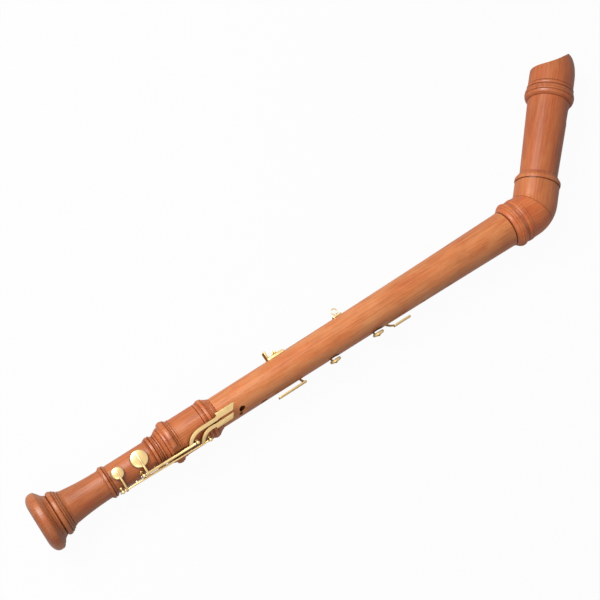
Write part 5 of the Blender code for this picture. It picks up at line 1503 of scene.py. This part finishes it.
# Thumb rest
# A brass base is screwed to the back of the middle joint. An L-shaped slide lies on it in reach of
# the thumb, and a knurled screw through its slot clamps it where the player wants it.
THUMB_START = MIDDLE + 90.3 * MM
THUMB_SLIDE_LENGTH = 22.2 * MM
THUMB_SLIDE_WIDTH = 8.0 * MM
THUMB_SLIDE_THICKNESS = 1.2 * MM
THUMB_SLIDE_CORNER = 1.0 * MM
THUMB_TRAVEL = 4.0 * MM
THUMB_BLADE_HEIGHT = 8.4 * MM
THUMB_BLADE_WIDTH = 15.0 * MM
THUMB_BLADE_THICKNESS = 2.0 * MM
THUMB_BLADE_CORNER = 1.6 * MM
THUMB_BASE_THICKNESS = 1.0 * MM
THUMB_BASE_WIDTH = 17.0 * MM
THUMB_BASE_OVERHANG = 0.8 * MM
SADDLE_CORNER = 1.5 * MM
CLAMP_HEAD_RADIUS = 3.1 * MM
CLAMP_HEAD_HEIGHT = 3.2 * MM
CLAMP_BEVEL = 0.4 * MM
CLAMP_DISH_RADIUS = 1.4 * MM
CLAMP_DISH_FLOOR_RADIUS = 1.1 * MM
KNURLS = 30
KNURL_DEPTH_SHARE = 0.045
SCREW_HEAD_RADIUS = 1.6 * MM
SCREW_HEAD_HEIGHT = 0.8 * MM
SCREW_SLOT = 0.4 * MM
BACK = radial_frame(0, pi)


def rounded_plate(low, high, corner, axis=0):
    """Plate between two corners of the back's frame, rounded along one axis, with filed edges."""
    return softened(with_round_corners(block_between(low, high), corner, axis), FINE_FILED_EDGE)


def screw_hole(place_at, low, high, radius=SCREW_RADIUS, sides=SMALL_SIDES):
    """Cutter of a screw's hole through a plate on the back of the middle joint."""
    station, aside = place_at
    return rod(low, high + GAP, radius + GAP, sides, radial_frame(station, pi, aside))


def saddle(start, end, width, low, thickness, holes):
    """Plate on the back of the middle joint, filed hollow to sit on the round wood."""
    half = width / 2
    mesh = rounded_plate((low - width / 4, -half, start), (low + thickness, half, end), SADDLE_CORNER)
    hollow = rod(start - GAP, end + GAP, low, WOOD_SIDES)
    return carved(placed(mesh, BACK), hollow, joined(*holes))


def add_wood_screw(node, place_at, seat):
    """Small wood screw with a slotted round head, on the back of the middle joint."""
    station, aside = place_at
    low = middle_radius(station) - SCREW_LENGTH
    top = seat + SCREW_HEAD_HEIGHT
    outline = merged(
        [(low, 0), (low + 1.0 * MM, SCREW_RADIUS), (seat, SCREW_RADIUS), (seat, SCREW_HEAD_RADIUS)],
        quarter((seat, SCREW_HEAD_RADIUS), (top, 0), square_first=False, steps=8),
    )
    driver_slot = block_between((top - SCREW_SLOT, -SCREW_SLOT / 2, -SCREW_HEAD_RADIUS),
                                (top + GAP, SCREW_SLOT / 2, SCREW_HEAD_RADIUS))
    mesh = carved(turned(outline, FINE_SIDES), driver_slot)
    add_piece(node, placed(mesh, radial_frame(station, pi, aside)), back_brass)


back_brass = brass("thumb_side_brass", (0, 0, 1))
satin_brass = brass("satin_brass", (0, 0, 1), roughness=0.34)
thumb_end = THUMB_START + THUMB_SLIDE_LENGTH
base_start, base_end = THUMB_START - THUMB_BASE_OVERHANG, thumb_end + THUMB_BASE_OVERHANG
base_low = middle_radius(base_end) + GAP
base_top = base_low + THUMB_BASE_THICKNESS
under = base_low - THUMB_BASE_WIDTH / 4
holes = [screw_hole(place_at, under, base_top) for place_at in THUMB_SCREWS]
holes.append(screw_hole((CLAMP_STATION, 0.0), under, base_top, CLAMP_SCREW_RADIUS, FINE_SIDES))
base_mesh = saddle(base_start, base_end, THUMB_BASE_WIDTH, base_low, THUMB_BASE_THICKNESS, holes)
add_piece("thumb_rest_base", base_mesh, satin_brass)
for number, place_at in enumerate(THUMB_SCREWS, 1):
    add_wood_screw(f"thumb_base_screw_{number}", place_at, base_top + GAP)

slide_low = base_top + GAP
slide_top = slide_low + THUMB_SLIDE_THICKNESS
half = THUMB_SLIDE_WIDTH / 2
plate = rounded_plate((slide_low, -half, THUMB_START), (slide_top, half, thumb_end), THUMB_SLIDE_CORNER)
half_blade = THUMB_BLADE_WIDTH / 2
blade = rounded_plate((slide_low + 0.1 * MM, -half_blade, THUMB_START - GAP),
                      (slide_top + THUMB_BLADE_HEIGHT, half_blade, THUMB_START + THUMB_BLADE_THICKNESS),
                      THUMB_BLADE_CORNER, axis=2)
slot_radius = CLAMP_SCREW_RADIUS + GAP
slide_slot = [block_between((slide_low - GAP, -slot_radius, CLAMP_STATION - THUMB_TRAVEL),
                            (slide_top + GAP, slot_radius, CLAMP_STATION + THUMB_TRAVEL))]
for side in (-THUMB_TRAVEL, THUMB_TRAVEL):
    round_end = Matrix.Translation((0, 0, CLAMP_STATION + side))
    slide_slot.append(rod(slide_low - GAP, slide_top + GAP, slot_radius, FINE_SIDES, round_end))
slide = placed(carved(welded(plate, blade), *slide_slot), BACK)
add_piece("thumb_rest_slide", slide, back_brass)

head_low = slide_top + GAP
head_top = head_low + CLAMP_HEAD_HEIGHT
shank = middle_radius(CLAMP_STATION) - CLAMP_SCREW_DEPTH
clamp_outline = [
    (shank, 0), (shank, CLAMP_SCREW_RADIUS), (head_low, CLAMP_SCREW_RADIUS),
    (head_low, CLAMP_HEAD_RADIUS - 0.5 * MM), (head_low + CLAMP_BEVEL, CLAMP_HEAD_RADIUS),
    (head_top - CLAMP_BEVEL, CLAMP_HEAD_RADIUS), (head_top, CLAMP_HEAD_RADIUS - CLAMP_BEVEL),
    (head_top, CLAMP_DISH_RADIUS), (head_top - CLAMP_BEVEL, CLAMP_DISH_FLOOR_RADIUS),
    (head_top - CLAMP_BEVEL, 0),
]
clamp = turned(clamp_outline, 4 * KNURLS)
for vertex in clamp.verts:
    around = vertex.co.yz
    if around.length > CLAMP_HEAD_RADIUS - 0.05 * MM:
        turn = around.angle_signed(Vector((1, 0))) * KNURLS
        vertex.co.yz = around * (1 - KNURL_DEPTH_SHARE * (1 - cos(turn)))
add_piece("thumb_clamp_screw", placed(clamp, radial_frame(CLAMP_STATION, pi)), satin_brass)


# Strap ring
# An eye of round wire stands on a short neck, soldered to a small plate that two screws hold to
# the back of the middle joint. A player's neck strap hooks in it.
STRAP_START = MIDDLE + 190.0 * MM
STRAP_PLATE_LENGTH = 12.6 * MM
STRAP_PLATE_WIDTH = 9.0 * MM
STRAP_PLATE_THICKNESS = 1.2 * MM
STRAP_RING_RADIUS = 3.8 * MM
STRAP_WIRE_RADIUS = 0.7 * MM
STRAP_WIRE_SIDES = 20
STRAP_NECK_HEIGHT = 1.1 * MM
STRAP_NECK_RADIUS = 1.0 * MM
STRAP_NECK_FOOT_RADIUS = 1.7 * MM
STRAP_NECK_FOOT_HEIGHT = 0.8 * MM

strap_end = STRAP_START + STRAP_PLATE_LENGTH
strap_low = middle_radius(strap_end) + GAP
strap_top = strap_low + STRAP_PLATE_THICKNESS
under = strap_low - STRAP_PLATE_WIDTH / 4
holes = [screw_hole(place_at, under, strap_top) for place_at in STRAP_SCREWS]
strap_plate = saddle(STRAP_START, strap_end, STRAP_PLATE_WIDTH, strap_low, STRAP_PLATE_THICKNESS, holes)
strap_middle = (STRAP_START + strap_end) / 2
neck_foot = (strap_top, STRAP_NECK_FOOT_RADIUS)
neck_waist = (strap_top + STRAP_NECK_FOOT_HEIGHT, STRAP_NECK_RADIUS)
neck_top = strap_top + STRAP_NECK_HEIGHT + STRAP_WIRE_RADIUS
neck_outline = merged(
    [(strap_top - GAP, 0), (strap_top - GAP, STRAP_NECK_FOOT_RADIUS)],
    ogee(neck_foot, neck_waist, 8),
    [(neck_top, STRAP_NECK_RADIUS), (neck_top, 0)],
)
neck = turned(neck_outline, FINE_SIDES, radial_frame(strap_middle, pi))
wire = []
for i in range(STRAP_WIRE_SIDES):
    turn = 2 * pi * i / STRAP_WIRE_SIDES
    wire.append((STRAP_WIRE_RADIUS * sin(turn), STRAP_RING_RADIUS + STRAP_WIRE_RADIUS * cos(turn)))
eye_centre = round_body(strap_middle, pi, neck_top + STRAP_RING_RADIUS)
eye = turned(wire, FINE_SIDES, frame_of(eye_centre, Vector((0, 0, 1)), Vector((1, 0, 0))), ring=True)
add_piece("strap_ring", welded(strap_plate, neck, eye), back_brass)
for number, place_at in enumerate(STRAP_SCREWS, 1):
    add_wood_screw(f"strap_plate_screw_{number}", place_at, strap_top + GAP)
